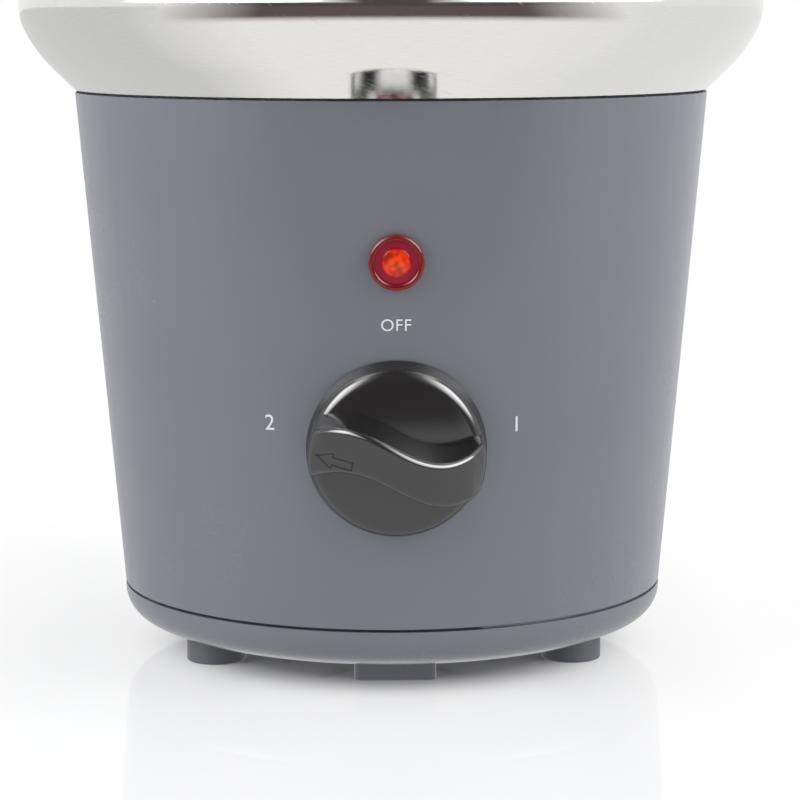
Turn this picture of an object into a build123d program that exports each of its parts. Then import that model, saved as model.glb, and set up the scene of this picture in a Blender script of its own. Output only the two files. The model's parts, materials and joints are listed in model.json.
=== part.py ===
from build123d import *
import math
import os

# Small chocolate fountain in millimetres. +Z is up, the control knob faces -Y,
# and the origin is on the ground under the middle of the bowl.

# Housing shell
seam_z = 15.0
housing_foot_r = 63.9
housing_top_r = 74.0
shell_wall = 2.5
seam_gap = 0.7
seam_ledge = 1.3
deck_rib_count = 6
deck_rib_depth = 3.6
deck_rib_width = 2.0

# Bowl
rim_r = 88.0
rim_z = 152.0
bowl_sheet = 0.8
lip_arc_r = 13.4
lip_turn = 30.0
flare_arc_r = 38.0
wall_slope = 44.0
bowl_floor_z = 115.2
bowl_corner_r = 8.0
neck_r = 9.0
neck_top_z = 124.0
neck_foot_r = 1.5
neck_shoulder_r = 1.2
gasket_t = 0.6
gasket_width = 2.6

# Base tray and feet
foot_h = 5.2
tray_flat_r = 50.0
tray_knee_r = 60.05
tray_knee_h = 2.45
tray_wall = 2.5
spigot_top_z = 22.0
spigot_wall = 1.8
foot_r = 6.95
foot_circle_r = 47.7
foot_stem_r = 3.0
foot_head_r = 4.2
foot_head_h = 1.5
foot_edge_r = 0.4
foot_angles = {"foot_left": 210.0, "foot_right": 330.0, "foot_rear": 90.0}
front_foot_w = 18.5
front_foot_d = 9.5
front_foot_y = -46.0
front_foot_corner = 1.6
vent_count = 9
vent_r = 22.0
vent_length = 11.0
vent_width = 2.6

# Screws that pull the tray up to the deck posts
post_circle_r = 36.0
post_r = 3.8
post_angles = (210.0, 330.0, 90.0)
tray_screw_r = 1.5
tray_screw_grip = 12.0
screw_head_r = 3.3
screw_head_h = 2.2
screw_slot_w = 0.9
well_depth = 5.4
well_wall = 1.8
well_floor = 2.5

# Deck that carries the motor and the bowl
deck_z = 86.0
deck_t = 2.5
deck_rim_h = 1.6
deck_rim_t = 1.8
deck_hole_r = 11.0
deck_slot_count = 10
deck_slot_r = 56.5
deck_slot_length = 12.0
deck_slot_width = 2.6

# Bowl studs
stud_circle_r = 48.5
stud_angles = (90.0, 210.0, 330.0)
stud_r = 2.0
stud_nut_af = 7.0
stud_nut_h = 3.2
stud_tail = 1.6
spacer_r = 3.8

# Heater under the bowl
stud_to_heater = 3.5
heater_hole_r = 12.0
heater_t = 3.8
element_circle_r = 31.0
element_r = 3.0
element_sunk = 1.2
element_sweep = 296.0
element_turn = 122.0
element_tail = 7.0
clip_t = 1.2
clip_w = 9.0
clip_to_element = 0.6
clip_tail = 4.5
sensor_circle_r = 20.0
thermostat_r = 7.4
thermostat_h = 6.0
thermostat_angle = 250.0
blade_w = 4.8
blade_t = 0.8
blade_l = 6.5
blade_pitch = 8.0
fuse_r = 2.0
fuse_l = 10.0
fuse_angle = 60.0
lead_r = 0.5
lead_l = 5.0
strap_t = 0.8
strap_w = 4.0
strap_foot = 4.0

# Shaft and its seat in the bowl
shaft_r = 3.0
shaft_top_z = 138.0
dog_h = 8.5
dog_flat = 2.2
bush_r = 5.2
bush_flange_h = 1.6
bush_low_z = 110.0
bush_top_z = 127.4
bush_nut_af = 13.0
bush_nut_h = 2.6
seal_r = 5.6
seal_h = 1.8
running_fit = 0.05
press_gap = 0.02
slip_gap = 0.1

# Geared motor
motor_offset = 13.5
motor_turn = 30.0
can_r = 25.0
can_sheet = 0.8
can_low_z = 57.6
cover_t = 1.5
ear_circle_r = 30.0
ear_turn = 75.0
ear_r = 4.5
motor_screw_r = 1.9
motor_screw_grip = 6.4
motor_boss_r = 4.0
motor_boss_h = 4.4
gear_plate_t = 1.4
gear_room = 9.3
motor_bush_r = 4.4
motor_bush_h = 4.2
pin_r = 1.0
magnet_r = 12.0
magnet_wall = 4.5
magnet_h = 12.0
rotor_hub_r = 2.6
pole_count = 6
claw_gap = 0.5
claw_t = 0.9
claw_share = 0.62
bobbin_sheet = 1.0
coil_r = 21.5

# Gear train
module = 0.6
pressure_angle = 20.0
pinion_teeth = 12
first_wheel_teeth = 28
second_wheel_teeth = 30
wheel_addendum = 0.8
pinion_addendum = 1.0
dedendum = 1.25
tooth_backlash = 0.06
second_face = 4.3
first_face = 3.4
gear_end_gap = 0.4
gear_web_t = 1.8
gear_rim_t = 1.6
gear_hub_r = 2.6
shaft_clip_r = 5.0
shaft_clip_t = 0.7
shaft_groove = 0.5

# Control knob, square to the sloping panel
knob_z = 56.4
knob_gap = 0.5
knob_base_r = 19.5
knob_face_r = 18.7
knob_disc_h = 7.0
knob_h = 20.0
knob_crown_r = 23.0
knob_edge_r = 1.4
grip_wave = 3.7
grip_wave_l = 22.0
grip_half_w = 4.5
grip_draft = 5.2
grip_end_r = 19.05
grip_foot_h = 3.0
grip_edge_r = 1.0
arrow_l = 7.6
arrow_head = 3.4
arrow_w = 1.7
arrow_depth = 0.4
arrow_x = -13.4
arrow_y = 1.2
arrow_tilt = -9.0
knob_cavity_r = 9.4
knob_cavity_h = 4.2
d_flat = 2.3
knob_bore_end = 14.0

# Rotary switch
switch_w = 24.0
switch_d = 15.0
switch_face_back = 1.4
switch_boss_r = 6.5
switch_bush_r = 4.9
switch_bush_end = 3.0
switch_nut_af = 14.0
switch_nut_h = 2.1
switch_shaft_in = 9.0
switch_blade_count = 4
switch_blade_w = 2.8

# Pilot lamp
lamp_z = 97.1
lens_r = 6.0
lens_body_r = 4.9
lens_flange_h = 1.2
lens_dome_h = 1.6
lens_body_l = 9.0
lens_wall = 1.0
lamp_bulb_r = 2.5
lamp_bulb_l = 9.0
holder_r = 6.6
holder_t = 1.6
holder_gap = 0.4

# Cord inlet
inlet_z = 34.0
inlet_r = 5.6
inlet_oval = 1.6
inlet_flange_r = 8.0
inlet_flange_h = 1.5
inlet_nose_r = 5.0
inlet_nose_l = 5.0
inlet_bore_r = 3.3
inlet_tail = 4.0

# Terminal block
block_x = -27.0
block_y = 21.0
block_l = 26.0
block_w = 14.0
block_h = 9.0
block_poles = 3
block_hole_r = 1.8

# Tower
tube_r = 14.3
tube_bore_r = 12.5
tower_gap = 0.3
skirt_r = 33.0
skirt_edge_h = 9.0
skirt_lip_r = 3.0
skirt_pitch = 35.0
skirt_neck_r = 12.0
arch_count = 4
arch_w = 17.0
arch_h = 7.5
arch_top_r = 3.0
tier_seats = (174.0, 214.0, 252.0)
tier_radii = (50.0, 38.0, 25.0)
tower_top_z = 284.0
spigot_h = 6.0
spigot_sheet = 0.9
tier_pitch = 12.0
tier_root_r = 7.0
tier_lip_r = 3.0
tier_edge_h = 1.5
tier_sheet = 1.4

# Auger
auger_r = 12.0
auger_core_r = 4.6
auger_pitch = 22.0
auger_turns = 7
auger_flight_t = 2.2
auger_low_z = 129.5
auger_nose_h = 6.0
socket_gap = 0.15

# Places worked out from the sizes above
slope = math.radians(wall_slope)
lip_end_r = rim_r - lip_arc_r * (1 - math.cos(math.radians(lip_turn)))
lip_end_z = rim_z - lip_arc_r * math.sin(math.radians(lip_turn))
flare_centre_r = lip_end_r - flare_arc_r * math.cos(math.radians(lip_turn))
flare_centre_z = lip_end_z + flare_arc_r * math.sin(math.radians(lip_turn))
cone_r = flare_centre_r + flare_arc_r * math.sin(slope)
cone_z = flare_centre_z - flare_arc_r * math.cos(slope)
seat_drop = (gasket_t + 2 * running_fit) / math.cos(slope)
housing_top_z = cone_z - (cone_r - housing_top_r) * math.tan(slope) - seat_drop
taper = math.atan2(housing_top_r - housing_foot_r, housing_top_z - seam_z)
wall_across = shell_wall / math.cos(taper)
tray_floor_z = foot_h + tray_wall
neck_under_z = neck_top_z - bowl_sheet
bush_flange_r = neck_r - bowl_sheet - neck_shoulder_r - slip_gap
heater_z = bowl_floor_z - heater_t
heater_r = stud_circle_r - stud_r - stud_to_heater
cover_z = deck_z - cover_t
gear_plate_z = cover_z - gear_room - gear_plate_t
motor_x = motor_offset * math.cos(math.radians(motor_turn))
motor_y = motor_offset * math.sin(math.radians(motor_turn))


def bowl_cone_z(r):
    """Height of the bowl's outer wall, on its straight part, at a radius."""
    return cone_z - (cone_r - r) * math.tan(slope)


def shell_radius(z):
    """Outer radius of the tapered housing at a height."""
    return housing_foot_r + (z - seam_z) * math.tan(taper)


def inner_radius(z):
    """Inner radius of the tapered housing at a height."""
    return shell_radius(z) - wall_across


def polar(radius, degrees, centre=(0.0, 0.0)):
    """A point in plan at a radius and angle from a centre."""
    angle = math.radians(degrees)
    return (centre[0] + radius * math.cos(angle), centre[1] + radius * math.sin(angle))


def rod(radius, low, high, at=(0.0, 0.0)):
    """A round bar standing on end between two heights."""
    return Pos(at[0], at[1], (low + high) / 2) * Cylinder(radius, high - low)


def sleeve(inner, outer, low, high, at=(0.0, 0.0)):
    """A round sleeve standing on end between two heights."""
    return rod(outer, low, high, at) - rod(inner, low - 1, high + 1, at)


def hexagon(across_flats, low, high, at=(0.0, 0.0)):
    """A hexagonal bar standing on end between two heights."""
    outline = RegularPolygon(across_flats / 2, 6, major_radius=False)
    return Pos(at[0], at[1], low) * extrude(outline, high - low)


def spun(*points):
    """A solid of revolution about Z from straight lines through radius, height points."""
    return revolve(Plane.XZ * make_face(Polyline(*points, close=True)), Axis.Z)


def spun_wall(edges, thickness, side):
    """A sheet of even thickness turned about Z from its outer line."""
    line = Wire(edges).offset_2d(thickness, side=side, closed=True)
    return revolve(Plane.XZ * make_face(line.edges()), Axis.Z)


def panel_plane(z, turn=-90.0):
    """A plane square to the tapered housing, at a height and a direction in plan."""
    x, y = polar(shell_radius(z), turn)
    out_x, out_y = polar(math.cos(taper), turn)
    side_x, side_y = polar(1.0, turn + 90)
    return Plane((x, y, z), x_dir=(side_x, side_y, 0), z_dir=(out_x, out_y, -math.sin(taper)))


def round_slot(length, width, low, high, radius, degrees, across=False):
    """A slot with round ends, along a radius or across it, for cutting floors."""
    x, y = polar(radius, degrees)
    turn = degrees + 90 if across else degrees
    return Pos(x, y, low) * Rot(0, 0, turn) * extrude(SlotOverall(length, width), high - low)


def tooth_half_angle(pitch_r, base_r, teeth, r):
    """Half the angle that a tooth takes up at a radius, thinned by the backlash."""
    at_pitch = math.pi / (2 * teeth) - tooth_backlash / (2 * pitch_r)
    pressure = math.radians(pressure_angle)
    roll = math.sqrt(max((r / base_r) ** 2 - 1, 0))
    return at_pitch + math.tan(pressure) - pressure - roll + math.atan(roll)


def gear_face(teeth, addendum, phase):
    """The outline of an involute spur gear, with one tooth centred at the phase angle."""
    pitch_r = module * teeth / 2
    base_r = pitch_r * math.cos(math.radians(pressure_angle))
    root_r = pitch_r - dedendum * module
    tip_r = pitch_r + addendum * module
    flank_low = max(base_r, root_r)
    radii = (flank_low, (flank_low + tip_r) / 2, tip_r)
    halves = [tooth_half_angle(pitch_r, base_r, teeth, r) for r in radii]
    edges = []
    for tooth in range(teeth):
        middle = math.radians(phase) + 2 * math.pi * tooth / teeth
        following = middle + 2 * math.pi / teeth

        def at(r, angle):
            return (r * math.cos(angle), r * math.sin(angle))

        rise = [at(r, middle - half) for r, half in zip(radii, halves)]
        fall = [at(r, middle + half) for r, half in zip(radii, halves)]
        foot_in = at(root_r, middle - halves[0])
        foot_out = at(root_r, middle + halves[0])
        foot_next = at(root_r, following - halves[0])
        edges.append(Line(foot_in, rise[0]))
        edges.append(ThreePointArc(*rise))
        edges.append(Line(rise[2], fall[2]))
        edges.append(ThreePointArc(*reversed(fall)))
        edges.append(Line(fall[0], foot_out))
        edges.append(Line(foot_out, foot_next))
    return make_face(edges)


def make_bowl():
    lip = CenterArc((rim_r - lip_arc_r, rim_z), lip_arc_r, 0, -lip_turn)
    flare = CenterArc(
        (flare_centre_r, flare_centre_z), flare_arc_r, -lip_turn, lip_turn + wall_slope - 90
    )
    corner_flat = cone_r - (cone_z - bowl_floor_z) / math.tan(slope)
    reach = bowl_corner_r * math.tan(slope / 2)
    corner_r = corner_flat - reach
    corner_z = bowl_floor_z + bowl_corner_r
    corner = CenterArc((corner_r, corner_z), bowl_corner_r, wall_slope - 90, -wall_slope)
    wall = Line(flare @ 1, corner @ 0)
    neck_in = neck_r - bowl_sheet
    foot_arc = CenterArc(
        (neck_in + neck_foot_r, bowl_floor_z + neck_foot_r), neck_foot_r, -90, -90
    )
    floor = Line(corner @ 1, foot_arc @ 0)
    shoulder = CenterArc(
        (neck_in - neck_shoulder_r, neck_under_z - neck_shoulder_r), neck_shoulder_r, 0, 90
    )
    neck = Line(foot_arc @ 1, shoulder @ 0)
    top = Line(shoulder @ 1, (bush_r + slip_gap, neck_under_z))
    edges = [lip, flare, wall, corner, floor, foot_arc, neck, shoulder, top]
    return spun_wall(edges, bowl_sheet, Side.RIGHT)


def make_bowl_gasket():
    outer = housing_top_r - seam_gap / 2
    inner = outer - gasket_width
    near = running_fit / math.cos(slope)
    far = near + gasket_t / math.cos(slope)
    return spun(
        (inner, bowl_cone_z(inner) - far),
        (outer, bowl_cone_z(outer) - far),
        (outer, bowl_cone_z(outer) - near),
        (inner, bowl_cone_z(inner) - near),
    )


def make_housing():
    low = seam_z + seam_gap
    inner_top = housing_top_r - wall_across
    shell = spun(
        (inner_radius(low), low),
        (shell_radius(low), low),
        (housing_top_r, housing_top_z),
        (inner_top, bowl_cone_z(inner_top) - seat_drop),
    )
    rib_low = spigot_top_z + seam_gap
    bound = spun(
        (0, rib_low),
        (shell_radius(rib_low) - shell_wall / 2, rib_low),
        (shell_radius(deck_z) - shell_wall / 2, deck_z),
        (0, deck_z),
    )
    rib_in = inner_radius(rib_low) - deck_rib_depth
    rib_out = shell_radius(deck_z)
    for index in range(deck_rib_count):
        turn = index * 360 / deck_rib_count
        rib = Pos((rib_in + rib_out) / 2, 0, (rib_low + deck_z) / 2) * Box(
            rib_out - rib_in, deck_rib_width, deck_z - rib_low
        )
        shell += (Rot(0, 0, turn) * rib) & bound
    through = 4 * shell_wall
    shell -= panel_plane(knob_z) * Cylinder(switch_bush_r + slip_gap, through)
    shell -= panel_plane(lamp_z) * Cylinder(lens_body_r + slip_gap, through)
    return shell - inlet_barrel(slip_gap, -through, through)


def make_base_tray():
    ledge_z = seam_z + seam_gap
    spigot_r = inner_radius(ledge_z) - slip_gap
    ledge_r = inner_radius(ledge_z) + seam_ledge
    spigot_in = spigot_r - spigot_wall
    side = (housing_foot_r, seam_z)
    knee = (tray_knee_r, foot_h + tray_knee_h)
    under = TangentArc((tray_flat_r, foot_h), knee, tangent=(1, 0))
    outer = [
        Line((0, foot_h), under @ 0),
        under,
        TangentArc(knee, side, tangent=under % 1),
    ]
    inside = Polyline(
        side,
        (ledge_r, side[1]),
        (ledge_r, ledge_z),
        (spigot_r, ledge_z),
        (spigot_r, spigot_top_z),
        (spigot_in, spigot_top_z),
        (spigot_in, knee[1] + 2 * tray_wall),
        (tray_flat_r + tray_wall, tray_floor_z),
        (0, tray_floor_z),
        (0, foot_h),
    )
    tray = revolve(Plane.XZ * make_face(outer + inside.edges()), Axis.Z)
    for turn in post_angles:
        at = polar(post_circle_r, turn)
        well_r = screw_head_r + slip_gap
        top = foot_h + well_depth + well_floor
        tray += rod(well_r + well_wall, tray_floor_z, top, at)
        tray -= rod(well_r, foot_h - 1, foot_h + well_depth, at)
        tray -= rod(tray_screw_r + slip_gap, foot_h, top + 1, at)
    for turn in foot_angles.values():
        tray -= rod(foot_stem_r + slip_gap, foot_h - 1, tray_floor_z + 1, polar(foot_circle_r, turn))
    front_at = (0, front_foot_y + front_foot_d / 2)
    tray -= rod(foot_stem_r + slip_gap, foot_h - 1, tray_floor_z + 1, front_at)
    for index in range(vent_count):
        turn = 90 + (index + 0.5) * 360 / vent_count
        tray -= round_slot(vent_length, vent_width, foot_h - 1, tray_floor_z + 1, vent_r, turn)
    block_at = (block_x, block_y)
    tray += rod(block_hole_r + well_wall, tray_floor_z, tray_floor_z + well_floor, block_at)
    return tray


def make_foot(turn):
    at = polar(foot_circle_r, turn)
    pad = fillet(rod(foot_r, 0, foot_h, at).edges().group_by(Axis.Z)[0], foot_edge_r)
    return pad + foot_plug(at)


def foot_plug(at):
    """The stem and snap head that hold a foot in the tray floor."""
    stem = rod(foot_stem_r, foot_h, tray_floor_z, at)
    head = rod(foot_head_r, tray_floor_z, tray_floor_z + foot_head_h, at)
    return stem + head


def make_front_foot():
    at = (0, front_foot_y + front_foot_d / 2)
    pad = extrude(RectangleRounded(front_foot_w, front_foot_d, front_foot_corner), foot_h)
    return Pos(*at) * pad + foot_plug(at)


def make_tray_screws():
    screws = []
    for turn in post_angles:
        at = polar(post_circle_r, turn)
        seat = foot_h + well_depth
        head = rod(screw_head_r, seat - screw_head_h, seat, at)
        shank = rod(tray_screw_r, seat, seat + well_floor + tray_screw_grip, at)
        slot = Box(2 * screw_head_r, screw_slot_w, screw_head_h)
        cross = slot + Rot(0, 0, 90) * slot
        screws.append(head + shank - Pos(at[0], at[1], seat - screw_head_h) * cross)
    return Compound(screws)


def make_motor_deck():
    edge_r = inner_radius(deck_z) - slip_gap
    deck = rod(edge_r, deck_z, deck_z + deck_t)
    deck += sleeve(edge_r - deck_rim_t, edge_r, deck_z, deck_z + deck_t + deck_rim_h)
    post_low = foot_h + well_depth + well_floor
    for turn in post_angles:
        at = polar(post_circle_r, turn)
        deck += rod(post_r, post_low, deck_z, at)
        deck -= rod(tray_screw_r + slip_gap, post_low - 1, post_low + tray_screw_grip + 2, at)
    for at in motor_ear_places():
        deck += rod(motor_boss_r, deck_z, deck_z + deck_t + motor_boss_h, at)
        deck -= rod(motor_screw_r + slip_gap, deck_z - 1, deck_z + motor_screw_grip, at)
    for turn in stud_angles:
        deck -= rod(stud_r + slip_gap, deck_z - 1, deck_z + deck_t + 1, polar(stud_circle_r, turn))
    deck -= rod(deck_hole_r, deck_z - 1, deck_z + deck_t + 1)
    for index in range(deck_slot_count):
        turn = (index + 0.5) * 360 / deck_slot_count
        low, high = deck_z - 1, deck_z + deck_t + 1
        deck -= round_slot(
            deck_slot_length, deck_slot_width, low, high, deck_slot_r, turn, across=True
        )
    return deck


def motor_ear_places():
    """Plan places of the two screws that hang the motor under the deck."""
    centre = (motor_x, motor_y)
    return [polar(ear_circle_r, ear_turn + half, centre) for half in (0, 180)]


def make_bowl_studs():
    low = deck_z - stud_nut_h - stud_tail
    studs = [rod(stud_r, low, bowl_floor_z, polar(stud_circle_r, turn)) for turn in stud_angles]
    return Compound(studs)


def make_stud_spacers():
    low, high = deck_z + deck_t, heater_z - clip_t
    inner = stud_r + slip_gap
    places = [polar(stud_circle_r, turn) for turn in stud_angles]
    return Compound([sleeve(inner, spacer_r, low, high, at) for at in places])


def make_stud_nuts():
    nuts = []
    for turn in stud_angles:
        at = polar(stud_circle_r, turn)
        nut = hexagon(stud_nut_af, deck_z - stud_nut_h, deck_z, at)
        nuts.append(nut - rod(stud_r + press_gap, 0, deck_z + 1, at))
    return Compound(nuts)


def make_heater_plate():
    plate = sleeve(heater_hole_r, heater_r, heater_z, bowl_floor_z)
    return plate - element_ring(element_r + slip_gap, 360)


def element_centre_z():
    """Height of the heating tube's centre line, part sunk in the plate's groove."""
    return heater_z + element_sunk - element_r


def element_ring(tube_r, sweep):
    """A round tube bent in a ring about Z, under the heater plate."""
    section = Plane.XZ * (Pos(element_circle_r, element_centre_z()) * Circle(tube_r))
    return Rot(0, 0, element_turn) * revolve(section, Axis.Z, sweep)


def make_heater_element():
    ring = element_ring(element_r, element_sweep)
    low = element_centre_z() - element_r - element_tail
    for turn in (element_turn, element_turn + element_sweep):
        at = polar(element_circle_r, turn)
        ring += rod(element_r / 2, low, element_centre_z(), at)
    return ring


def make_heater_clips():
    clips = []
    for turn in stud_angles:
        inner = element_circle_r + element_r + clip_to_element
        outer = stud_circle_r + clip_tail
        bar = Pos((inner + outer) / 2, 0, heater_z - clip_t / 2) * Box(outer - inner, clip_w, clip_t)
        heel = Pos(outer - clip_t / 2, 0, (heater_z + bowl_floor_z) / 2) * Box(
            clip_t, clip_w, bowl_floor_z - heater_z
        )
        hole = rod(stud_r + slip_gap, heater_z - 2 * clip_t, heater_z + clip_t, (stud_circle_r, 0))
        clips.append(Rot(0, 0, turn) * (bar + heel - hole))
    return Compound(clips)


def make_thermostat():
    x, y = polar(sensor_circle_r, thermostat_angle)
    body = rod(thermostat_r, heater_z - thermostat_h, heater_z)
    low = heater_z - thermostat_h
    for side in (-1, 1):
        body += Pos(side * blade_pitch / 2, 0, low - blade_l / 2) * Box(blade_t, blade_w, blade_l)
    return Pos(x, y, 0) * Rot(0, 0, thermostat_angle) * body


def fuse_frame():
    """The place of the fuse, lying across a radius under the heater plate."""
    x, y = polar(sensor_circle_r, fuse_angle)
    return Pos(x, y, heater_z - fuse_r - running_fit) * Rot(0, 0, fuse_angle)


def make_thermal_fuse():
    fuse = Rot(90, 0, 0) * Cylinder(fuse_r, fuse_l)
    leads = Rot(90, 0, 0) * Cylinder(lead_r, fuse_l + 2 * lead_l)
    return fuse_frame() * (fuse + leads)


def make_fuse_strap():
    inner = fuse_r + running_fit
    outer = inner + strap_t
    end = outer + strap_foot
    inside = Line((-inner, 0), (-inner, inner)) + CenterArc((0, 0), inner, 180, 180)
    inside += Line((inner, 0), (inner, inner))
    outside = CenterArc((0, 0), outer, 180, 180)
    feet = [
        Polyline(
            (side * outer, 0),
            (side * outer, inner - strap_t),
            (side * end, inner - strap_t),
            (side * end, inner),
            (side * inner, inner),
        )
        for side in (-1, 1)
    ]
    outline = make_face(inside.edges() + outside.edges() + feet[0].edges() + feet[1].edges())
    return fuse_frame() * (Pos(0, strap_w / 2, 0) * extrude(Plane.XZ * outline, strap_w))


def make_shaft_bush():
    bush = rod(bush_r, bush_low_z, bush_top_z)
    bush += rod(bush_flange_r, neck_under_z - bush_flange_h, neck_under_z)
    return bush - rod(shaft_r + running_fit, bush_low_z - 1, bush_top_z + 1)


def make_bush_nut():
    nut = hexagon(bush_nut_af, neck_top_z, neck_top_z + bush_nut_h)
    return nut - rod(bush_r + press_gap, neck_top_z - 1, neck_top_z + bush_nut_h + 1)


def make_shaft_seal():
    low = bush_top_z
    inner = shaft_r + running_fit
    return spun(
        (inner, low),
        (seal_r, low),
        (seal_r, low + seal_h / 2),
        (inner + seal_h / 3, low + seal_h),
        (inner, low + seal_h),
    )


def double_d(radius, flat, low, high):
    """A round bar with two flats, standing on end between two heights."""
    bar = rod(radius, low, high)
    return bar & Pos(0, 0, (low + high) / 2) * Box(2 * flat, 4 * radius, high - low)


def clip_low_z():
    """Height of the groove that keeps the shaft from dropping, above the motor bush."""
    return cover_z + motor_bush_h + running_fit


def make_drive_shaft():
    low = gear_plate_z + running_fit
    shaft = rod(shaft_r, low, shaft_top_z - dog_h)
    shaft += double_d(shaft_r, dog_flat, shaft_top_z - dog_h, shaft_top_z)
    groove = sleeve(shaft_r - shaft_groove, shaft_r + 1, clip_low_z(), clip_low_z() + shaft_clip_t)
    return shaft - groove


def make_shaft_clip():
    low = clip_low_z() + press_gap
    high = clip_low_z() + shaft_clip_t - press_gap
    ring = sleeve(shaft_r - shaft_groove + press_gap, shaft_clip_r, low, high)
    mouth = Pos(shaft_clip_r, 0, (low + high) / 2) * Box(2 * shaft_clip_r, shaft_r, 2)
    return ring - mouth


def motor_rod(radius, low, high):
    """A round bar on the motor's own axis."""
    return rod(radius, low, high, (motor_x, motor_y))


def motor_sleeve(inner, outer, low, high):
    """A sleeve on the motor's own axis."""
    return sleeve(inner, outer, low, high, (motor_x, motor_y))


def idler_place():
    """Plan place of the idler, from its distances to the rotor and to the shaft."""
    near = module * (pinion_teeth + first_wheel_teeth) / 2
    far = module * (pinion_teeth + second_wheel_teeth) / 2
    cosine = (far**2 + motor_offset**2 - near**2) / (2 * far * motor_offset)
    return polar(far, motor_turn + math.degrees(math.acos(cosine)))


def heading(start, end):
    """Direction in degrees from one plan place to another."""
    return math.degrees(math.atan2(end[1] - start[1], end[0] - start[0]))


def make_motor_can():
    floor = motor_rod(can_r, can_low_z, can_low_z + can_sheet)
    wall = motor_sleeve(can_r - can_sheet, can_r, can_low_z, cover_z)
    return floor + wall - motor_rod(pin_r + press_gap, can_low_z - 1, can_low_z + can_sheet + 1)


def make_motor_cover():
    cover = motor_rod(can_r, cover_z, deck_z)
    for at in motor_ear_places():
        ear = rod(ear_r, cover_z, deck_z, at)
        root = Pos(at[0], at[1], (cover_z + deck_z) / 2) * Rot(0, 0, heading(at, (motor_x, motor_y)))
        cover += ear + root * (Pos(ear_r / 2 + 1, 0, 0) * Box(ear_r + 2, 2 * ear_r, cover_t))
        cover -= rod(motor_screw_r + slip_gap, cover_z - 1, deck_z + 1, at)
    cover -= rod(motor_bush_r + press_gap, cover_z - 1, deck_z + 1)
    cover -= motor_rod(pin_r + press_gap, cover_z - 1, deck_z + 1)
    return cover - rod(pin_r + press_gap, cover_z - 1, deck_z + 1, idler_place())


def make_motor_bush():
    return sleeve(shaft_r + running_fit, motor_bush_r, cover_z, cover_z + motor_bush_h)


def make_motor_screws():
    screws = []
    for at in motor_ear_places():
        head = rod(screw_head_r, cover_z - screw_head_h, cover_z, at)
        screws.append(head + rod(motor_screw_r, cover_z, deck_z + motor_screw_grip - 1, at))
    return Compound(screws)


def make_gear_plate():
    high = gear_plate_z + gear_plate_t
    plate = motor_rod(can_r - can_sheet - press_gap, gear_plate_z, high)
    pinion_r = module * (pinion_teeth / 2 + pinion_addendum)
    plate -= motor_rod(pinion_r + gear_end_gap, gear_plate_z - 1, high + 1)
    plate -= rod(shaft_r + running_fit, gear_plate_z - 1, high + 1)
    return plate - rod(pin_r + press_gap, gear_plate_z - 1, high + 1, idler_place())


def stator_low_z():
    """Height at which the coil and its pole plates stand on the can's floor."""
    return can_low_z + can_sheet


def pole_ring(low_side):
    """A steel plate with fingers that reach between those of its twin."""
    low, high = stator_low_z(), gear_plate_z
    inner = magnet_r + claw_gap
    outer = can_r - can_sheet - press_gap
    if low_side:
        plate = motor_sleeve(inner, outer, low, low + claw_t)
        fingers = motor_sleeve(inner, inner + claw_t, low, high - 3 * claw_t)
    else:
        plate = motor_sleeve(inner, outer, high - claw_t, high)
        fingers = motor_sleeve(inner, inner + claw_t, low + 3 * claw_t, high)
    step = 360 / pole_count
    start = 0 if low_side else step / 2
    half = math.radians(claw_share * step / 4)
    keep = None
    for index in range(pole_count):
        reach = 2 * inner
        wedge = Polyline(
            (0, 0),
            (reach * math.cos(half), -reach * math.sin(half)),
            (reach * math.cos(half), reach * math.sin(half)),
            close=True,
        )
        sector = Rot(0, 0, start + index * step) * extrude(make_face(wedge), high - low)
        keep = sector if keep is None else keep + sector
    return plate + (fingers & Pos(motor_x, motor_y, low) * keep)


def make_coil_bobbin():
    low = stator_low_z() + claw_t
    high = gear_plate_z - claw_t
    inner = magnet_r + claw_gap + claw_t + slip_gap
    outer = can_r - can_sheet - slip_gap
    bobbin = motor_sleeve(inner, inner + bobbin_sheet, low, high)
    bobbin += motor_sleeve(inner, outer, low, low + bobbin_sheet)
    return bobbin + motor_sleeve(inner, outer, high - bobbin_sheet, high)


def make_coil():
    low = stator_low_z() + claw_t + bobbin_sheet
    high = gear_plate_z - claw_t - bobbin_sheet
    inner = magnet_r + claw_gap + claw_t + slip_gap + bobbin_sheet
    return motor_sleeve(inner + press_gap, coil_r, low, high)


def rotor_pinion_z():
    """Height of the foot of the rotor's pinion."""
    return gear_plate_z + gear_plate_t + gear_end_gap


def make_rotor_pin():
    return motor_rod(pin_r, can_low_z, deck_z)


def magnet_low_z():
    """Height of the magnet's foot, with the magnet just under the gear plate."""
    return gear_plate_z - gear_end_gap - claw_t - magnet_h


def make_rotor_magnet():
    low = magnet_low_z()
    inner = magnet_r - magnet_wall + press_gap
    return motor_sleeve(inner, magnet_r, low, low + magnet_h)


def make_rotor_hub():
    low = magnet_low_z()
    foot = stator_low_z() + gear_end_gap
    pinion_low = rotor_pinion_z()
    hub = motor_rod(rotor_hub_r, foot, pinion_low)
    hub += motor_rod(magnet_r - magnet_wall, low, low + magnet_h)
    tooth = heading((motor_x, motor_y), idler_place())
    pinion = extrude(gear_face(pinion_teeth, pinion_addendum, tooth), first_face)
    hub += Pos(motor_x, motor_y, pinion_low) * pinion
    return hub - motor_rod(pin_r + running_fit, foot - 1, pinion_low + first_face + 1)


def make_idler_pin():
    return rod(pin_r, gear_plate_z, deck_z, idler_place())


def second_stage_z():
    """Height of the foot of the output wheel, above the first stage."""
    return cover_z - gear_end_gap - second_face


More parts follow.
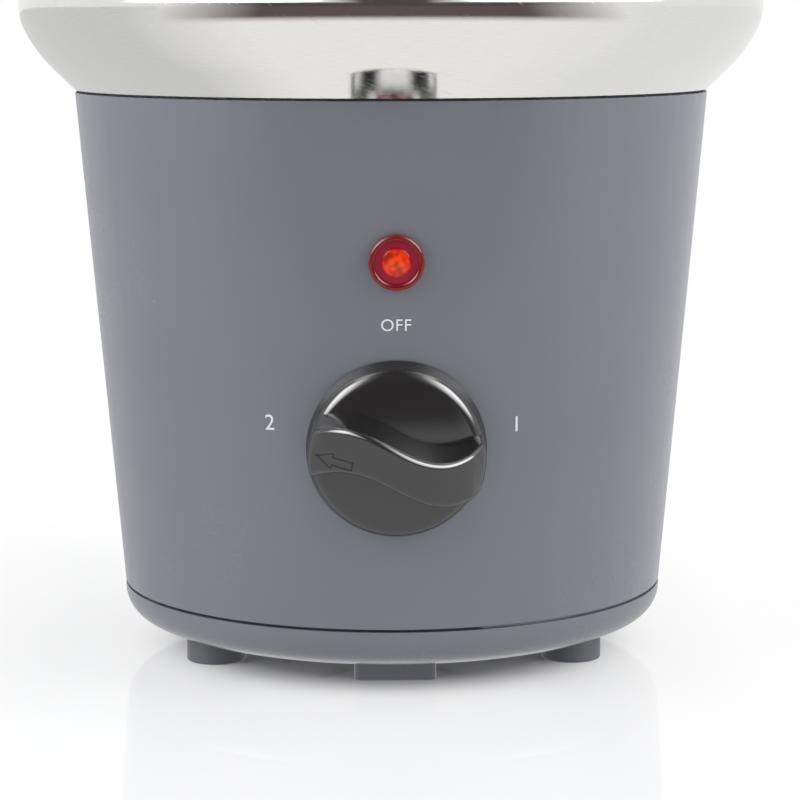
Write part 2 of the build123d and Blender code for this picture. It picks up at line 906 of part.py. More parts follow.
def make_idler_gear():
    place = idler_place()
    low = rotor_pinion_z()
    gap_turn = heading(place, (motor_x, motor_y)) + 180 / first_wheel_teeth
    wheel = extrude(gear_face(first_wheel_teeth, wheel_addendum, gap_turn), first_face)
    root_r = module * (first_wheel_teeth / 2 - dedendum)
    groove = Cylinder(root_r - gear_rim_t, first_face) - Cylinder(gear_hub_r + 1, first_face)
    wheel -= Pos(0, 0, first_face / 2 + gear_web_t) * groove
    tooth = heading(place, (0, 0))
    pinion_h = cover_z - gear_end_gap - low - first_face
    pinion = extrude(gear_face(pinion_teeth, pinion_addendum, tooth), pinion_h)
    gear = wheel + Pos(0, 0, first_face) * pinion
    gear -= Cylinder(pin_r + running_fit, 4 * (first_face + pinion_h))
    return Pos(place[0], place[1], low) * gear


def make_output_gear():
    gap_turn = heading((0, 0), idler_place()) + 180 / second_wheel_teeth
    wheel = extrude(gear_face(second_wheel_teeth, wheel_addendum, gap_turn), second_face)
    wheel -= Cylinder(shaft_r + press_gap, 4 * second_face)
    return Pos(0, 0, second_stage_z()) * wheel


def grip_section(half_width, z):
    """The S-shaped band of the grip at a height above the panel, from four arcs."""
    quarter = grip_wave_l / 2
    bend = (quarter**2 + grip_wave**2) / (2 * grip_wave)
    drop = bend - grip_wave
    start = math.degrees(math.atan2(drop, quarter))
    edges = []
    for offset in (half_width, -half_width):
        edges.append(CenterArc((-quarter, -drop), bend + offset, start, 180 - 2 * start))
        edges.append(CenterArc((quarter, drop), bend - offset, 180 + start, 180 - 2 * start))
    edges.append(Line(edges[0] @ 1, edges[2] @ 1))
    edges.append(Line(edges[1] @ 1, edges[3] @ 1))
    return Pos(0, 0, z) * make_face(edges)


def make_arrow():
    """The engraved arrow at the end of the grip, pointing outwards."""
    half = arrow_w / 2
    outline = Polyline(
        (-arrow_l / 2, 0),
        (-arrow_l / 2 + arrow_head, arrow_w),
        (-arrow_l / 2 + arrow_head, half),
        (arrow_l / 2, half),
        (arrow_l / 2, -half),
        (-arrow_l / 2 + arrow_head, -half),
        (-arrow_l / 2 + arrow_head, -arrow_w),
        close=True,
    )
    return Pos(arrow_x, arrow_y, 0) * Rot(0, 0, arrow_tilt) * extrude(make_face(outline), knob_h)


def make_knob():
    disc = spun(
        (0, knob_gap), (knob_base_r, knob_gap), (knob_face_r, knob_disc_h), (0, knob_disc_h)
    )
    disc = fillet(disc.edges().group_by(Axis.Z)[-1], knob_edge_r)
    spread = (knob_h - grip_foot_h) * math.tan(math.radians(grip_draft))
    foot = grip_section(grip_half_w + spread, grip_foot_h)
    band = loft([foot, grip_section(grip_half_w, knob_h)], ruled=True)
    crown = Pos(0, 0, knob_h - knob_crown_r) * Rot(90, 0, 0) * Cylinder(knob_crown_r, 3 * knob_h)
    core = Pos(0, 0, knob_h / 2) * Cylinder(grip_end_r, 2 * knob_h)
    grip = band & core & crown
    grip = fillet(grip.faces().sort_by(Axis.Z)[-1].edges(), grip_edge_r)
    knob = disc + grip
    sunk = Pos(0, 0, knob_h - knob_crown_r) * Rot(90, 0, 0) * Cylinder(
        knob_crown_r - arrow_depth, 3 * knob_h
    )
    knob -= make_arrow() - sunk
    knob -= rod(knob_cavity_r, 0, knob_cavity_h)
    bore = rod(shaft_r + press_gap, knob_cavity_h - 1, knob_bore_end)
    flat = Pos(0, -d_flat - press_gap - shaft_r, knob_h / 2) * Box(2 * knob_h, 2 * shaft_r, 2 * knob_h)
    return panel_plane(knob_z) * (knob - (bore - flat))


def switch_back():
    """Depth behind the panel of the switch body's front face."""
    return shell_wall + switch_face_back


def switch_seat():
    """Depth of the ring on which the switch boss meets the curved wall."""
    curve_r = inner_radius(knob_z)
    return shell_wall + curve_r - math.sqrt(curve_r**2 - switch_boss_r**2)


def make_switch_shaft():
    low = -switch_back() - switch_shaft_in
    shaft = rod(shaft_r, low, knob_bore_end - slip_gap)
    flat_low = switch_bush_end + running_fit
    flat = Pos(0, -d_flat - shaft_r, (flat_low + knob_h) / 2) * Box(
        4 * shaft_r, 2 * shaft_r, knob_h - flat_low
    )
    return panel_plane(knob_z) * (shaft - flat)


def make_switch_body():
    back = switch_back()
    body = Pos(0, 0, -back - switch_d / 2) * Box(switch_w, switch_w, switch_d)
    body += rod(switch_boss_r, -back, -switch_seat())
    body += rod(switch_bush_r, -back, switch_bush_end)
    low = -back - switch_d
    for index in range(switch_blade_count):
        x = (index - (switch_blade_count - 1) / 2) * switch_w / switch_blade_count
        body += Pos(x, 0, low - blade_l / 2) * Box(switch_blade_w, blade_t, blade_l)
    bore_low = -back - switch_shaft_in - running_fit
    body -= rod(shaft_r + running_fit, bore_low, switch_bush_end + 1)
    return panel_plane(knob_z) * body


def make_switch_nut():
    nut = hexagon(switch_nut_af, press_gap, switch_nut_h)
    return panel_plane(knob_z) * (nut - rod(switch_bush_r + press_gap, -1, switch_nut_h + 1))


def make_pilot_lens():
    flange = rod(lens_r, press_gap, lens_flange_h)
    dome_r = (lens_r**2 + lens_dome_h**2) / (2 * lens_dome_h)
    dome = Pos(0, 0, lens_flange_h + lens_dome_h - dome_r) * Sphere(dome_r)
    dome &= rod(lens_r, lens_flange_h, lens_flange_h + lens_dome_h + 1)
    body = rod(lens_body_r, -lens_body_l, lens_flange_h)
    hollow = rod(lens_body_r - lens_wall, -lens_body_l - 1, lens_flange_h - lens_wall / 2)
    return panel_plane(lamp_z) * (flange + dome + body - hollow)


def make_pilot_bulb():
    high = lens_flange_h - lens_wall
    low = high - lamp_bulb_l
    bulb = rod(lamp_bulb_r, low, high - lamp_bulb_r)
    bulb += Pos(0, 0, high - lamp_bulb_r) * Sphere(lamp_bulb_r)
    base = rod(lens_body_r - lens_wall - press_gap, low - 2, low)
    for side in (-1, 1):
        base += Pos(side * lamp_bulb_r / 2, 0, 0) * rod(lead_r, low - 2 - lead_l, low - 2)
    return panel_plane(lamp_z) * (bulb + base)


def make_pilot_nut():
    low = -shell_wall - holder_t - holder_gap
    ring = sleeve(lens_body_r + press_gap, holder_r, low, low + holder_t)
    return panel_plane(lamp_z) * ring


def inlet_barrel(gap, low, high):
    """The oval barrel that keeps the cord inlet from turning in the housing."""
    outline = SlotOverall(2 * (inlet_r + gap) + inlet_oval, 2 * (inlet_r + gap))
    return panel_plane(inlet_z, 90) * Pos(0, 0, low) * extrude(outline, high - low)


def make_cord_inlet():
    nose = inlet_flange_h + inlet_nose_l
    low = -shell_wall - inlet_tail
    head = spun(
        (0, press_gap),
        (inlet_flange_r, press_gap),
        (inlet_flange_r, inlet_flange_h),
        (inlet_r, inlet_flange_h),
        (inlet_nose_r, nose),
        (0, nose),
    )
    bore = rod(inlet_bore_r, low - 1, nose + 1)
    place = panel_plane(inlet_z, 90)
    return inlet_barrel(0, low, press_gap) + place * head - place * bore


def make_terminal_block():
    low = tray_floor_z + well_floor
    block = Pos(block_x, block_y, low + block_h / 2) * Box(block_w, block_l, block_h)
    for index in range(block_poles):
        y = block_y + (index - (block_poles - 1) / 2) * block_l / block_poles
        across = Pos(block_x, y, low + block_h / 2) * Rot(0, 90, 0)
        block -= across * Cylinder(block_hole_r, 2 * block_w)
        block -= rod(block_hole_r, low + block_h / 2, low + block_h + 1, (block_x, y))
    return block


def tower_tube(low, high):
    """A length of the tower's tube, with its top turned down for the next piece."""
    spigot_out = tube_bore_r + spigot_sheet
    tube = sleeve(tube_bore_r, tube_r, low, high)
    return tube + sleeve(tube_bore_r, spigot_out, high, high + spigot_h)


def make_tower_base():
    foot = bowl_floor_z + bowl_sheet + tower_gap
    edge_z = foot + skirt_edge_h
    lip = CenterArc((skirt_r - skirt_lip_r, edge_z), skirt_lip_r, 0, 90 - skirt_pitch)
    end = polar(skirt_neck_r, 270 - skirt_pitch, (tube_r + skirt_neck_r, 0))
    rise = ((lip @ 1).X - end[0]) * math.tan(math.radians(skirt_pitch))
    neck_z = (lip @ 1).Y + rise - end[1]
    neck = CenterArc((tube_r + skirt_neck_r, neck_z), skirt_neck_r, 270 - skirt_pitch, skirt_pitch - 90)
    edges = [
        Line((skirt_r, foot), lip @ 0),
        lip,
        Line(lip @ 1, neck @ 0),
        neck,
        Line(neck @ 1, (tube_r, neck_z + spigot_h)),
    ]
    skirt = spun_wall(edges, tube_r - tube_bore_r, Side.LEFT)
    base = skirt + tower_tube(neck_z + spigot_h, tier_seats[0])
    arch = RectangleRounded(arch_w, 2 * arch_h, arch_top_r)
    for index in range(arch_count):
        turn = index * 360 / arch_count
        tunnel = Plane.XZ * extrude(arch, 2 * skirt_r)
        base -= Rot(0, 0, turn) * Pos(0, 0, foot) * tunnel
    return base


def make_tier(index):
    """One tier: a socket on the tube below, a drooping dish, and the tube above it."""
    seat = tier_seats[index]
    reach = tier_radii[index]
    last = index == len(tier_seats) - 1
    high = tower_top_z if last else tier_seats[index + 1]
    root = seat + spigot_h + tier_root_r
    neck = CenterArc((tube_r + tier_root_r, root), tier_root_r, 180, 90 - tier_pitch)
    start = neck @ 1
    lip_start_r = reach - tier_lip_r + polar(tier_lip_r, 90 - tier_pitch)[0]
    lip_start_z = start.Y - (lip_start_r - start.X) * math.tan(math.radians(tier_pitch))
    lip_z = lip_start_z - polar(tier_lip_r, 90 - tier_pitch)[1]
    lip = CenterArc((reach - tier_lip_r, lip_z), tier_lip_r, 90 - tier_pitch, tier_pitch - 90)
    edges = [
        Line((tube_r, root + tier_root_r), neck @ 0),
        neck,
        Line(start, lip @ 0),
        lip,
        Line(lip @ 1, (reach, lip_z - tier_edge_h)),
    ]
    dish = spun_wall(edges, tier_sheet, Side.RIGHT)
    socket_r = tube_bore_r + spigot_sheet + slip_gap
    tube = sleeve(tube_bore_r, tube_r, seat, root + tier_root_r)
    tube -= rod(socket_r, seat - 1, seat + spigot_h + slip_gap)
    if last:
        tube += sleeve(tube_bore_r, tube_r, root, high)
    else:
        tube += tower_tube(root, high)
    return tube + dish


def make_auger():
    sweep = 360 * auger_flight_t / auger_pitch
    radii = (auger_core_r / 2, auger_r)
    corners = [polar(radius, side * sweep / 2) for radius in radii for side in (-1, 1)]
    blade = make_face(
        [
            Line(corners[0], corners[2]),
            ThreePointArc(corners[2], (auger_r, 0), corners[3]),
            Line(corners[3], corners[1]),
            Line(corners[1], corners[0]),
        ]
    )
    section = (Circle(auger_core_r) + blade).face()
    length = auger_turns * auger_pitch
    flight = Solid.extrude_linear_with_rotation(section, (0, 0, 0), (0, 0, length), 360 * auger_turns)
    screw = Pos(0, 0, auger_low_z) * flight
    top = auger_low_z + length
    tip = top + auger_nose_h
    screw += spun((0, top), (auger_core_r, top), (auger_core_r / 2, tip), (0, tip))
    low = auger_low_z - 1
    seat = shaft_top_z + socket_gap
    screw -= double_d(shaft_r + socket_gap, dog_flat + socket_gap, low, seat)
    relief = rod(shaft_r + socket_gap, low, shaft_top_z - dog_h + socket_gap)
    return screw - relief


pieces = {
    "housing": make_housing(),
    "bowl": make_bowl(),
    "bowl_gasket": make_bowl_gasket(),
    "base_tray": make_base_tray(),
    "foot_front": make_front_foot(),
    "tray_screws": make_tray_screws(),
    "motor_deck": make_motor_deck(),
    "bowl_studs": make_bowl_studs(),
    "stud_spacers": make_stud_spacers(),
    "stud_nuts": make_stud_nuts(),
    "heater_plate": make_heater_plate(),
    "heater_element": make_heater_element(),
    "heater_clips": make_heater_clips(),
    "thermostat": make_thermostat(),
    "thermal_fuse": make_thermal_fuse(),
    "fuse_strap": make_fuse_strap(),
    "shaft_bush": make_shaft_bush(),
    "bush_nut": make_bush_nut(),
    "shaft_seal": make_shaft_seal(),
    "drive_shaft": make_drive_shaft(),
    "shaft_clip": make_shaft_clip(),
    "motor_can": make_motor_can(),
    "motor_cover": make_motor_cover(),
    "motor_bush": make_motor_bush(),
    "motor_screws": make_motor_screws(),
    "gear_plate": make_gear_plate(),
    "pole_plate_low": pole_ring(True),
    "pole_plate_high": pole_ring(False),
    "coil_bobbin": make_coil_bobbin(),
    "coil": make_coil(),
    "rotor_pin": make_rotor_pin(),
    "rotor_magnet": make_rotor_magnet(),
    "rotor_hub": make_rotor_hub(),
    "idler_pin": make_idler_pin(),
    "idler_gear": make_idler_gear(),
    "output_gear": make_output_gear(),
    "knob": make_knob(),
    "switch_shaft": make_switch_shaft(),
    "switch_body": make_switch_body(),
    "switch_nut": make_switch_nut(),
    "pilot_lens": make_pilot_lens(),
    "pilot_bulb": make_pilot_bulb(),
    "pilot_nut": make_pilot_nut(),
    "cord_inlet": make_cord_inlet(),
    "terminal_block": make_terminal_block(),
    "tower_base": make_tower_base(),
    "lower_tier": make_tier(0),
    "middle_tier": make_tier(1),
    "crown": make_tier(2),
    "auger": make_auger(),
}
for name, turn in foot_angles.items():
    pieces[name] = make_foot(turn)

os.makedirs("parts", exist_ok=True)
for name, shape in pieces.items():
    export_step(shape, f"parts/{name}.step")
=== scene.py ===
import json
import math

import bmesh
import bpy
from mathutils import Matrix, Vector


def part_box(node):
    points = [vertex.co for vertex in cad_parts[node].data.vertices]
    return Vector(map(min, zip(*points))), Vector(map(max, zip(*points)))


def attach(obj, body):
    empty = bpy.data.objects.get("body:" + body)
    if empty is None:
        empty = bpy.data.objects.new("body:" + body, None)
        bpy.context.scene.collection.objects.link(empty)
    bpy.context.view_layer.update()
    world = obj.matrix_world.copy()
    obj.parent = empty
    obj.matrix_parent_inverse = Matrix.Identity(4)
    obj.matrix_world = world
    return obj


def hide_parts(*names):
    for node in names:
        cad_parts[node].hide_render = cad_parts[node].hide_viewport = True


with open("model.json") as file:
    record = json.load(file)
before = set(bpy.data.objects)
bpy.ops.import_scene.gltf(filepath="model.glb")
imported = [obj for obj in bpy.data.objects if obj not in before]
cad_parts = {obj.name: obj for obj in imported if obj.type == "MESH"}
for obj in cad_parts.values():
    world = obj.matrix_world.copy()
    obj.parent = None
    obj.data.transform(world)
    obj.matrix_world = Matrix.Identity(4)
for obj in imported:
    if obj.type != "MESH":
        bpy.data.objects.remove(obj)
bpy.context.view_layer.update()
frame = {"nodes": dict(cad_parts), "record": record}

# Sizes of the fountain in millimetres, as the real one measures
MM = 0.001
SEAM_Z, HOUSING_FOOT_R, HOUSING_TOP_R, EDGE_BAND = 15.0, 63.9, 74.0, 3.2
RIM_R, RIM_Z, LIP_ARC_R, LIP_TURN, FLARE_ARC_R = 88.0, 152.0, 13.4, 30.0, 38.0
RIM_DRAWN_IN, DRAWN_IN_FROM_Z = 1.35, 134.0
WALL_SLOPE, BOWL_FLOOR_Z, BOWL_CORNER_R, BOWL_SHEET = 44.0, 115.2, 8.0, 0.8
NECK_R, NECK_UNDER_Z, NECK_FOOT_R, NECK_SHOULDER_R, NECK_HOLE_R = 9.0, 123.2, 1.5, 1.2, 5.3
GASKET_CREST = 0.48
KNOB_Z, LAMP_Z = 56.4, 97.1
KNOB_GAP, KNOB_BASE_R, KNOB_FACE_R, KNOB_DISC_H = 0.5, 19.5, 18.7, 7.0
KNOB_H, KNOB_CROWN_R, KNOB_SOFT_EDGE, KNOB_DOME = 20.0, 23.0, 2.6, 1.5
GRIP_WAVE, GRIP_WAVE_L, GRIP_HALF_W, GRIP_DRAFT = 3.7, 22.0, 4.5, 5.2
GRIP_END_R, GRIP_FOOT_H, GRIP_EDGE_R, GRIP_END_STEP, GRIP_STEPS = 19.05, 3.0, 1.15, 2.9, 56
ARROW_L, ARROW_HEAD, ARROW_W, ARROW_AT, ARROW_TILT = 7.6, 3.4, 1.7, (-13.4, 1.2), -9.0
# Width of the arrow's painted shade line and its lift off the grip
ARROW_SHADE_LINE, ARROW_LIFT = 0.34, 0.03
LENS_R, LENS_BODY_R, LENS_BACK, LENS_RING, LENS_RING_H = 6.0, 4.85, 6.0, 1.35, 2.1
LENS_SUNK, LENS_MIDDLE_R, LENS_MIDDLE_H = 0.9, 3.15, 1.6
AUGER_R, AUGER_CORE_R, AUGER_ROOT_R, AUGER_PITCH, AUGER_TURNS = 12.0, 4.6, 4.2, 22.0, 7
AUGER_FLIGHT_T, AUGER_LOW_Z, AUGER_NOSE_H, AUGER_EDGE = 2.2, 129.5, 6.0, 0.3
AUGER_SOCKET_R, AUGER_SOCKET_TOP_Z, FIN_EDGE_R = 3.15, 138.15, 0.5

ROUND_STEPS = 288

# Forms worked out from those sizes
slope = math.radians(WALL_SLOPE)
lip_end_r = RIM_R - LIP_ARC_R * (1 - math.cos(math.radians(LIP_TURN)))
lip_end_z = RIM_Z - LIP_ARC_R * math.sin(math.radians(LIP_TURN))
flare_centre_r = lip_end_r - FLARE_ARC_R * math.cos(math.radians(LIP_TURN))
flare_centre_z = lip_end_z + FLARE_ARC_R * math.sin(math.radians(LIP_TURN))
cone_r = flare_centre_r + FLARE_ARC_R * math.sin(slope)
cone_z = flare_centre_z - FLARE_ARC_R * math.cos(slope)
housing_top_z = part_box("housing")[1].z / MM
taper = math.atan2(HOUSING_TOP_R - HOUSING_FOOT_R, housing_top_z - SEAM_Z)


def shell_radius(z):
    """Outer radius of the tapered housing at a height, in millimetres."""
    return HOUSING_FOOT_R + (z - SEAM_Z) * math.tan(taper)


def panel_matrix(z, turn=-90.0):
    """Millimetres in a plane square to the housing wall, turned into metres in the frame."""
    angle = math.radians(turn)
    level, drop = math.cos(taper), -math.sin(taper)
    out = Vector((level * math.cos(angle), level * math.sin(angle), drop))
    side = Vector((-math.sin(angle), math.cos(angle), 0))
    radius = shell_radius(z)
    place = Vector((radius * math.cos(angle), radius * math.sin(angle), z)) * MM
    axes = Matrix((side, out.cross(side), out)).transposed()
    return Matrix.Translation(place) @ axes.to_4x4() @ Matrix.Scale(MM, 4)


# Mesh helpers


def new_object(name, mesh):
    made = bpy.data.objects.new(name, mesh)
    bpy.context.scene.collection.objects.link(made)
    return made


def settled(piece):
    """The piece as a plain mesh, with its modifiers applied and its place in its mesh."""
    graph = bpy.context.evaluated_depsgraph_get()
    graph.update()
    mesh = bpy.data.meshes.new_from_object(piece.evaluated_get(graph))
    mesh.transform(piece.matrix_world)
    name = piece.name
    bpy.data.objects.remove(piece)
    return new_object(name, mesh)


def smooth(piece, degrees=35.0):
    """Shades a piece smooth, with edges sharper than an angle kept."""
    piece.data.shade_smooth()
    piece.data.set_sharp_from_angle(angle=math.radians(degrees))
    return piece


def merge_flats(work):
    """Joins the triangles of each flat face, so that it shades flat up to its rounded edges."""
    bmesh.ops.dissolve_limit(
        work, angle_limit=math.radians(0.4), verts=work.verts, edges=work.edges, delimit={"NORMAL"}
    )


def even_normals(piece, degrees):
    """Smooth shading that the larger faces lead, with the sharp edges kept."""
    smooth(piece, degrees)
    weighted = piece.modifiers.new("even_faces", "WEIGHTED_NORMAL")
    weighted.keep_sharp = True
    weighted.weight = 100
    return settled(piece)


def dressed_copy(node, name, degrees=30.0, trim=None):
    """A merged and smoothly shaded copy of a node, for a piece whose form is already right."""
    mesh = frame["nodes"][node].data.copy()
    mesh.materials.clear()
    work = bmesh.new()
    work.from_mesh(mesh)
    bmesh.ops.remove_doubles(work, verts=work.verts, dist=0.002 * MM)
    if trim:
        trim(work)
    merge_flats(work)
    bmesh.ops.recalc_face_normals(work, faces=work.faces)
    work.to_mesh(mesh)
    work.free()
    return even_normals(new_object(name, mesh), degrees)


def arc(centre, radius, start, sweep, steps):
    """Points along an arc in the radius and height plane, angles in degrees."""
    points = []
    for index in range(steps + 1):
        angle = math.radians(start + sweep * index / steps)
        points.append((centre[0] + radius * math.cos(angle), centre[1] + radius * math.sin(angle)))
    return points


def sheet_outline(line, thickness):
    """The closed outline of a sheet that lies to the left of a line of points, with rounded ends."""
    normals = []
    for index in range(len(line)):
        before, after = line[max(index - 1, 0)], line[min(index + 1, len(line) - 1)]
        along = Vector((after[0] - before[0], after[1] - before[1])).normalized()
        normals.append(Vector((-along.y, along.x)))
    middle = [Vector(p) + n * thickness / 2 for p, n in zip(line, normals)]
    half = thickness / 2
    near = [m - n * half for m, n in zip(middle, normals)]
    far = [m + n * half for m, n in zip(middle, normals)]

    def cap(centre, normal, way):
        start = math.degrees(math.atan2(normal.y, normal.x))
        return [Vector(p) for p in arc(centre, half, start, way * 180, 6)[1:-1]]

    end = cap(middle[-1], -normals[-1], 1)
    start = cap(middle[0], normals[0], 1)
    return [tuple(p) for p in near + end + far[::-1] + start]


def turned(name, outline, steps=ROUND_STEPS, place=None):
    """A closed outline of radius and height in millimetres, turned about the axis of its place."""
    work = bmesh.new()
    rings = []
    for index in range(steps):
        angle = 2 * math.pi * index / steps - math.pi / 2
        cosine, sine = math.cos(angle), math.sin(angle)
        rings.append([work.verts.new((r * cosine * MM, r * sine * MM, z * MM)) for r, z in outline])
    count = len(outline)
    for index, ring in enumerate(rings):
        following = rings[(index + 1) % steps]
        for row in range(count):
            above = (row + 1) % count
            work.faces.new((ring[row], following[row], following[above], ring[above]))
    bmesh.ops.remove_doubles(work, verts=work.verts, dist=0.001 * MM)
    bmesh.ops.recalc_face_normals(work, faces=work.faces)
    if place is not None:
        bmesh.ops.transform(work, matrix=place @ Matrix.Scale(1 / MM, 4), verts=work.verts)
    mesh = bpy.data.meshes.new(name)
    work.to_mesh(mesh)
    work.free()
    return new_object(name, mesh)


# Geometry trees


def node_tree(name):
    tree = bpy.data.node_groups.new(name, "GeometryNodeTree")
    tree.interface.new_socket("Geometry", in_out="INPUT", socket_type="NodeSocketGeometry")
    tree.interface.new_socket("Geometry", in_out="OUTPUT", socket_type="NodeSocketGeometry")
    return tree


def tree_input(tree, name, value, kind="NodeSocketFloat"):
    socket = tree.interface.new_socket(name, in_out="INPUT", socket_type=kind)
    if value is not None:
        socket.default_value = value
    return socket.identifier


def add(tree, kind, **settings):
    node = tree.nodes.new(kind)
    for key, value in settings.items():
        setattr(node, key, value)
    return node


def grown(name, tree, values):
    """A piece made whole by a geometry tree, as a plain mesh."""
    piece = new_object(name, bpy.data.meshes.new(name))
    modifier = piece.modifiers.new("tree", "NODES")
    modifier.node_group = tree
    for identifier, value in values.items():
        modifier[identifier] = value
    return settled(piece)


# Shared shader groups


def shader_group(name, inputs, outputs):
    group = bpy.data.node_groups.new(name, "ShaderNodeTree")
    for label, value in inputs.items():
        kind = "NodeSocketColor" if isinstance(value, tuple) else "NodeSocketFloat"
        socket = group.interface.new_socket(label, in_out="INPUT", socket_type=kind)
        socket.default_value = value
    for label, kind in outputs.items():
        group.interface.new_socket(label, in_out="OUTPUT", socket_type=kind)
    return group, group.nodes.new("NodeGroupInput"), group.nodes.new("NodeGroupOutput")


def math_node(tree, operation, first, second=None, clamp=False):
    node = tree.nodes.new("ShaderNodeMath")
    node.operation = operation
    node.use_clamp = clamp
    for index, value in enumerate((first, second)):
        if value is None:
            continue
        if isinstance(value, (int, float)):
            node.inputs[index].default_value = value
        else:
            tree.links.new(value, node.inputs[index])
    return node.outputs[0]


def noise(tree, vector, scale, detail=2.0, rough=0.5):
    node = tree.nodes.new("ShaderNodeTexNoise")
    node.inputs["Scale"].default_value = scale
    node.inputs["Detail"].default_value = detail
    node.inputs["Roughness"].default_value = rough
    tree.links.new(vector, node.inputs["Vector"])
    return node.outputs["Fac"]


def combine(tree, x, y, z):
    node = tree.nodes.new("ShaderNodeCombineXYZ")
    for index, value in enumerate((x, y, z)):
        if isinstance(value, (int, float)):
            node.inputs[index].default_value = value
        else:
            tree.links.new(value, node.inputs[index])
    return node.outputs[0]


def turned_lines_group():
    """Fine lines that run round the upright axis, as spinning and polishing leave them."""
    group, given, put = shader_group(
        "turned_lines",
        {"Lines": 5200.0, "Length": 26.0, "Slant": 0.0},
        {"Lines": "NodeSocketFloat", "Patches": "NodeSocketFloat"},
    )
    place = group.nodes.new("ShaderNodeTexCoord").outputs["Object"]
    split = group.nodes.new("ShaderNodeSeparateXYZ")
    group.links.new(place, split.inputs[0])
    x, y, z = split.outputs
    back = math_node(group, "MULTIPLY", y, -1.0)
    angle = math_node(group, "ARCTAN2", x, back)
    x_square, y_square = math_node(group, "MULTIPLY", x, x), math_node(group, "MULTIPLY", y, y)
    radius = math_node(group, "SQRT", math_node(group, "ADD", x_square, y_square))
    height = math_node(group, "ADD", math_node(group, "MULTIPLY", z, 0.8), radius)
    slant = math_node(group, "MULTIPLY", angle, given.outputs["Slant"])
    slanted = math_node(group, "ADD", height, slant)
    across = math_node(group, "MULTIPLY", slanted, given.outputs["Lines"])
    along = math_node(group, "MULTIPLY", angle, given.outputs["Length"])
    lines = noise(group, combine(group, along, across, 0.0), 1.0, 3.0, 0.6)
    patches = noise(group, place, 22.0, 3.0, 0.5)
    group.links.new(lines, put.inputs["Lines"])
    group.links.new(patches, put.inputs["Patches"])
    return group


def moulded_grain_group():
    """The fine even grain of a moulded surface, with faint cloudy handling marks."""
    group, given, put = shader_group(
        "moulded_grain",
        {"Grain": 3200.0, "Marks": 30.0},
        {"Grain": "NodeSocketFloat", "Marks": "NodeSocketFloat"},
    )
    place = group.nodes.new("ShaderNodeTexCoord").outputs["Object"]
    for label, detail in (("Grain", 1.5), ("Marks", 4.0)):
        node = group.nodes.new("ShaderNodeTexNoise")
        node.inputs["Detail"].default_value = detail
        group.links.new(place, node.inputs["Vector"])
        group.links.new(given.outputs[label], node.inputs["Scale"])
        group.links.new(node.outputs["Fac"], put.inputs[label])
    return group


def worn_edges_group():
    """A mask that is one on convex edges and falls off beside them, broken up by noise."""
    group, given, put = shader_group(
        "worn_edges", {"Width": 0.02, "Amount": 0.6}, {"Mask": "NodeSocketFloat"}
    )
    pointy = group.nodes.new("ShaderNodeNewGeometry").outputs["Pointiness"]
    raised = math_node(group, "SUBTRACT", pointy, 0.5)
    over = math_node(group, "DIVIDE", raised, given.outputs["Width"], clamp=True)
    place = group.nodes.new("ShaderNodeTexCoord").outputs["Object"]
    broken = noise(group, place, 260.0, 3.0)
    mask = math_node(group, "MULTIPLY", over, broken, clamp=True)
    scaled = math_node(group, "MULTIPLY", mask, given.outputs["Amount"], clamp=True)
    group.links.new(scaled, put.inputs["Mask"])
    return group


LINES = turned_lines_group()
GRAIN = moulded_grain_group()
EDGES = worn_edges_group()


# Materials


def blank_material(name):
    material = bpy.data.materials.new(name)
    material.use_nodes = True
    shader = material.node_tree.nodes["Principled BSDF"]
    return material, material.node_tree, shader


def use_group(tree, group, **values):
    node = tree.nodes.new("ShaderNodeGroup")
    node.node_tree = group
    for key, value in values.items():
        node.inputs[key].default_value = value
    return node


def ramp(tree, fac, low, high, low_at=0.3, high_at=0.7):
    """A value or colour that runs from one to another as a mask rises."""
    node = tree.nodes.new("ShaderNodeValToRGB")
    first, last = node.color_ramp.elements
    first.position, last.position = low_at, high_at
    for element, value in ((first, low), (last, high)):
        element.color = (*value, 1) if isinstance(value, tuple) else (value, value, value, 1)
    tree.links.new(fac, node.inputs[0])
    return node.outputs[0]


def mixed(tree, fac, first, second):
    node = tree.nodes.new("ShaderNodeMix")
    node.data_type = "RGBA"
    tree.links.new(fac, node.inputs["Factor"])
    for socket, value in ((node.inputs[6], first), (node.inputs[7], second)):
        if isinstance(value, tuple):
            socket.default_value = (*value, 1)
        else:
            tree.links.new(value, socket)
    return node.outputs[2]


def bump(tree, shader, height, distance, strength=1.0, under=None):
    node = tree.nodes.new("ShaderNodeBump")
    node.inputs["Strength"].default_value = strength
    node.inputs["Distance"].default_value = distance
    tree.links.new(height, node.inputs["Height"])
    if under is not None:
        tree.links.new(under, node.inputs["Normal"])
    tree.links.new(node.outputs["Normal"], shader.inputs["Normal"])
    return node.outputs["Normal"]


def moulded(name, colour, rough, grain=3200.0, depth=0.00001, wear=0.15, specular=0.5):
    """A moulded plastic or rubber with its grain, handling marks and faintly lighter edges."""
    material, tree, shader = blank_material(name)
    marks = use_group(tree, GRAIN, Grain=grain, Marks=28.0)
    worn = use_group(tree, EDGES, Amount=wear)
    darker = tuple(0.94 * c for c in colour)
    lighter = tuple(min(1.0, 1.05 * c + 0.002) for c in colour)
    body = ramp(tree, marks.outputs["Marks"], darker, lighter, 0.1, 0.9)
    edge = tuple(min(1.0, 1.5 * c + 0.03) for c in colour)
    tree.links.new(mixed(tree, worn.outputs["Mask"], body, edge), shader.inputs["Base Color"])
    uneven = ramp(tree, marks.outputs["Marks"], rough * 0.88, rough * 1.14, 0.1, 0.9)
    tree.links.new(uneven, shader.inputs["Roughness"])
    shader.inputs["Specular IOR Level"].default_value = specular
    bump(tree, shader, marks.outputs["Grain"], depth)
    return material


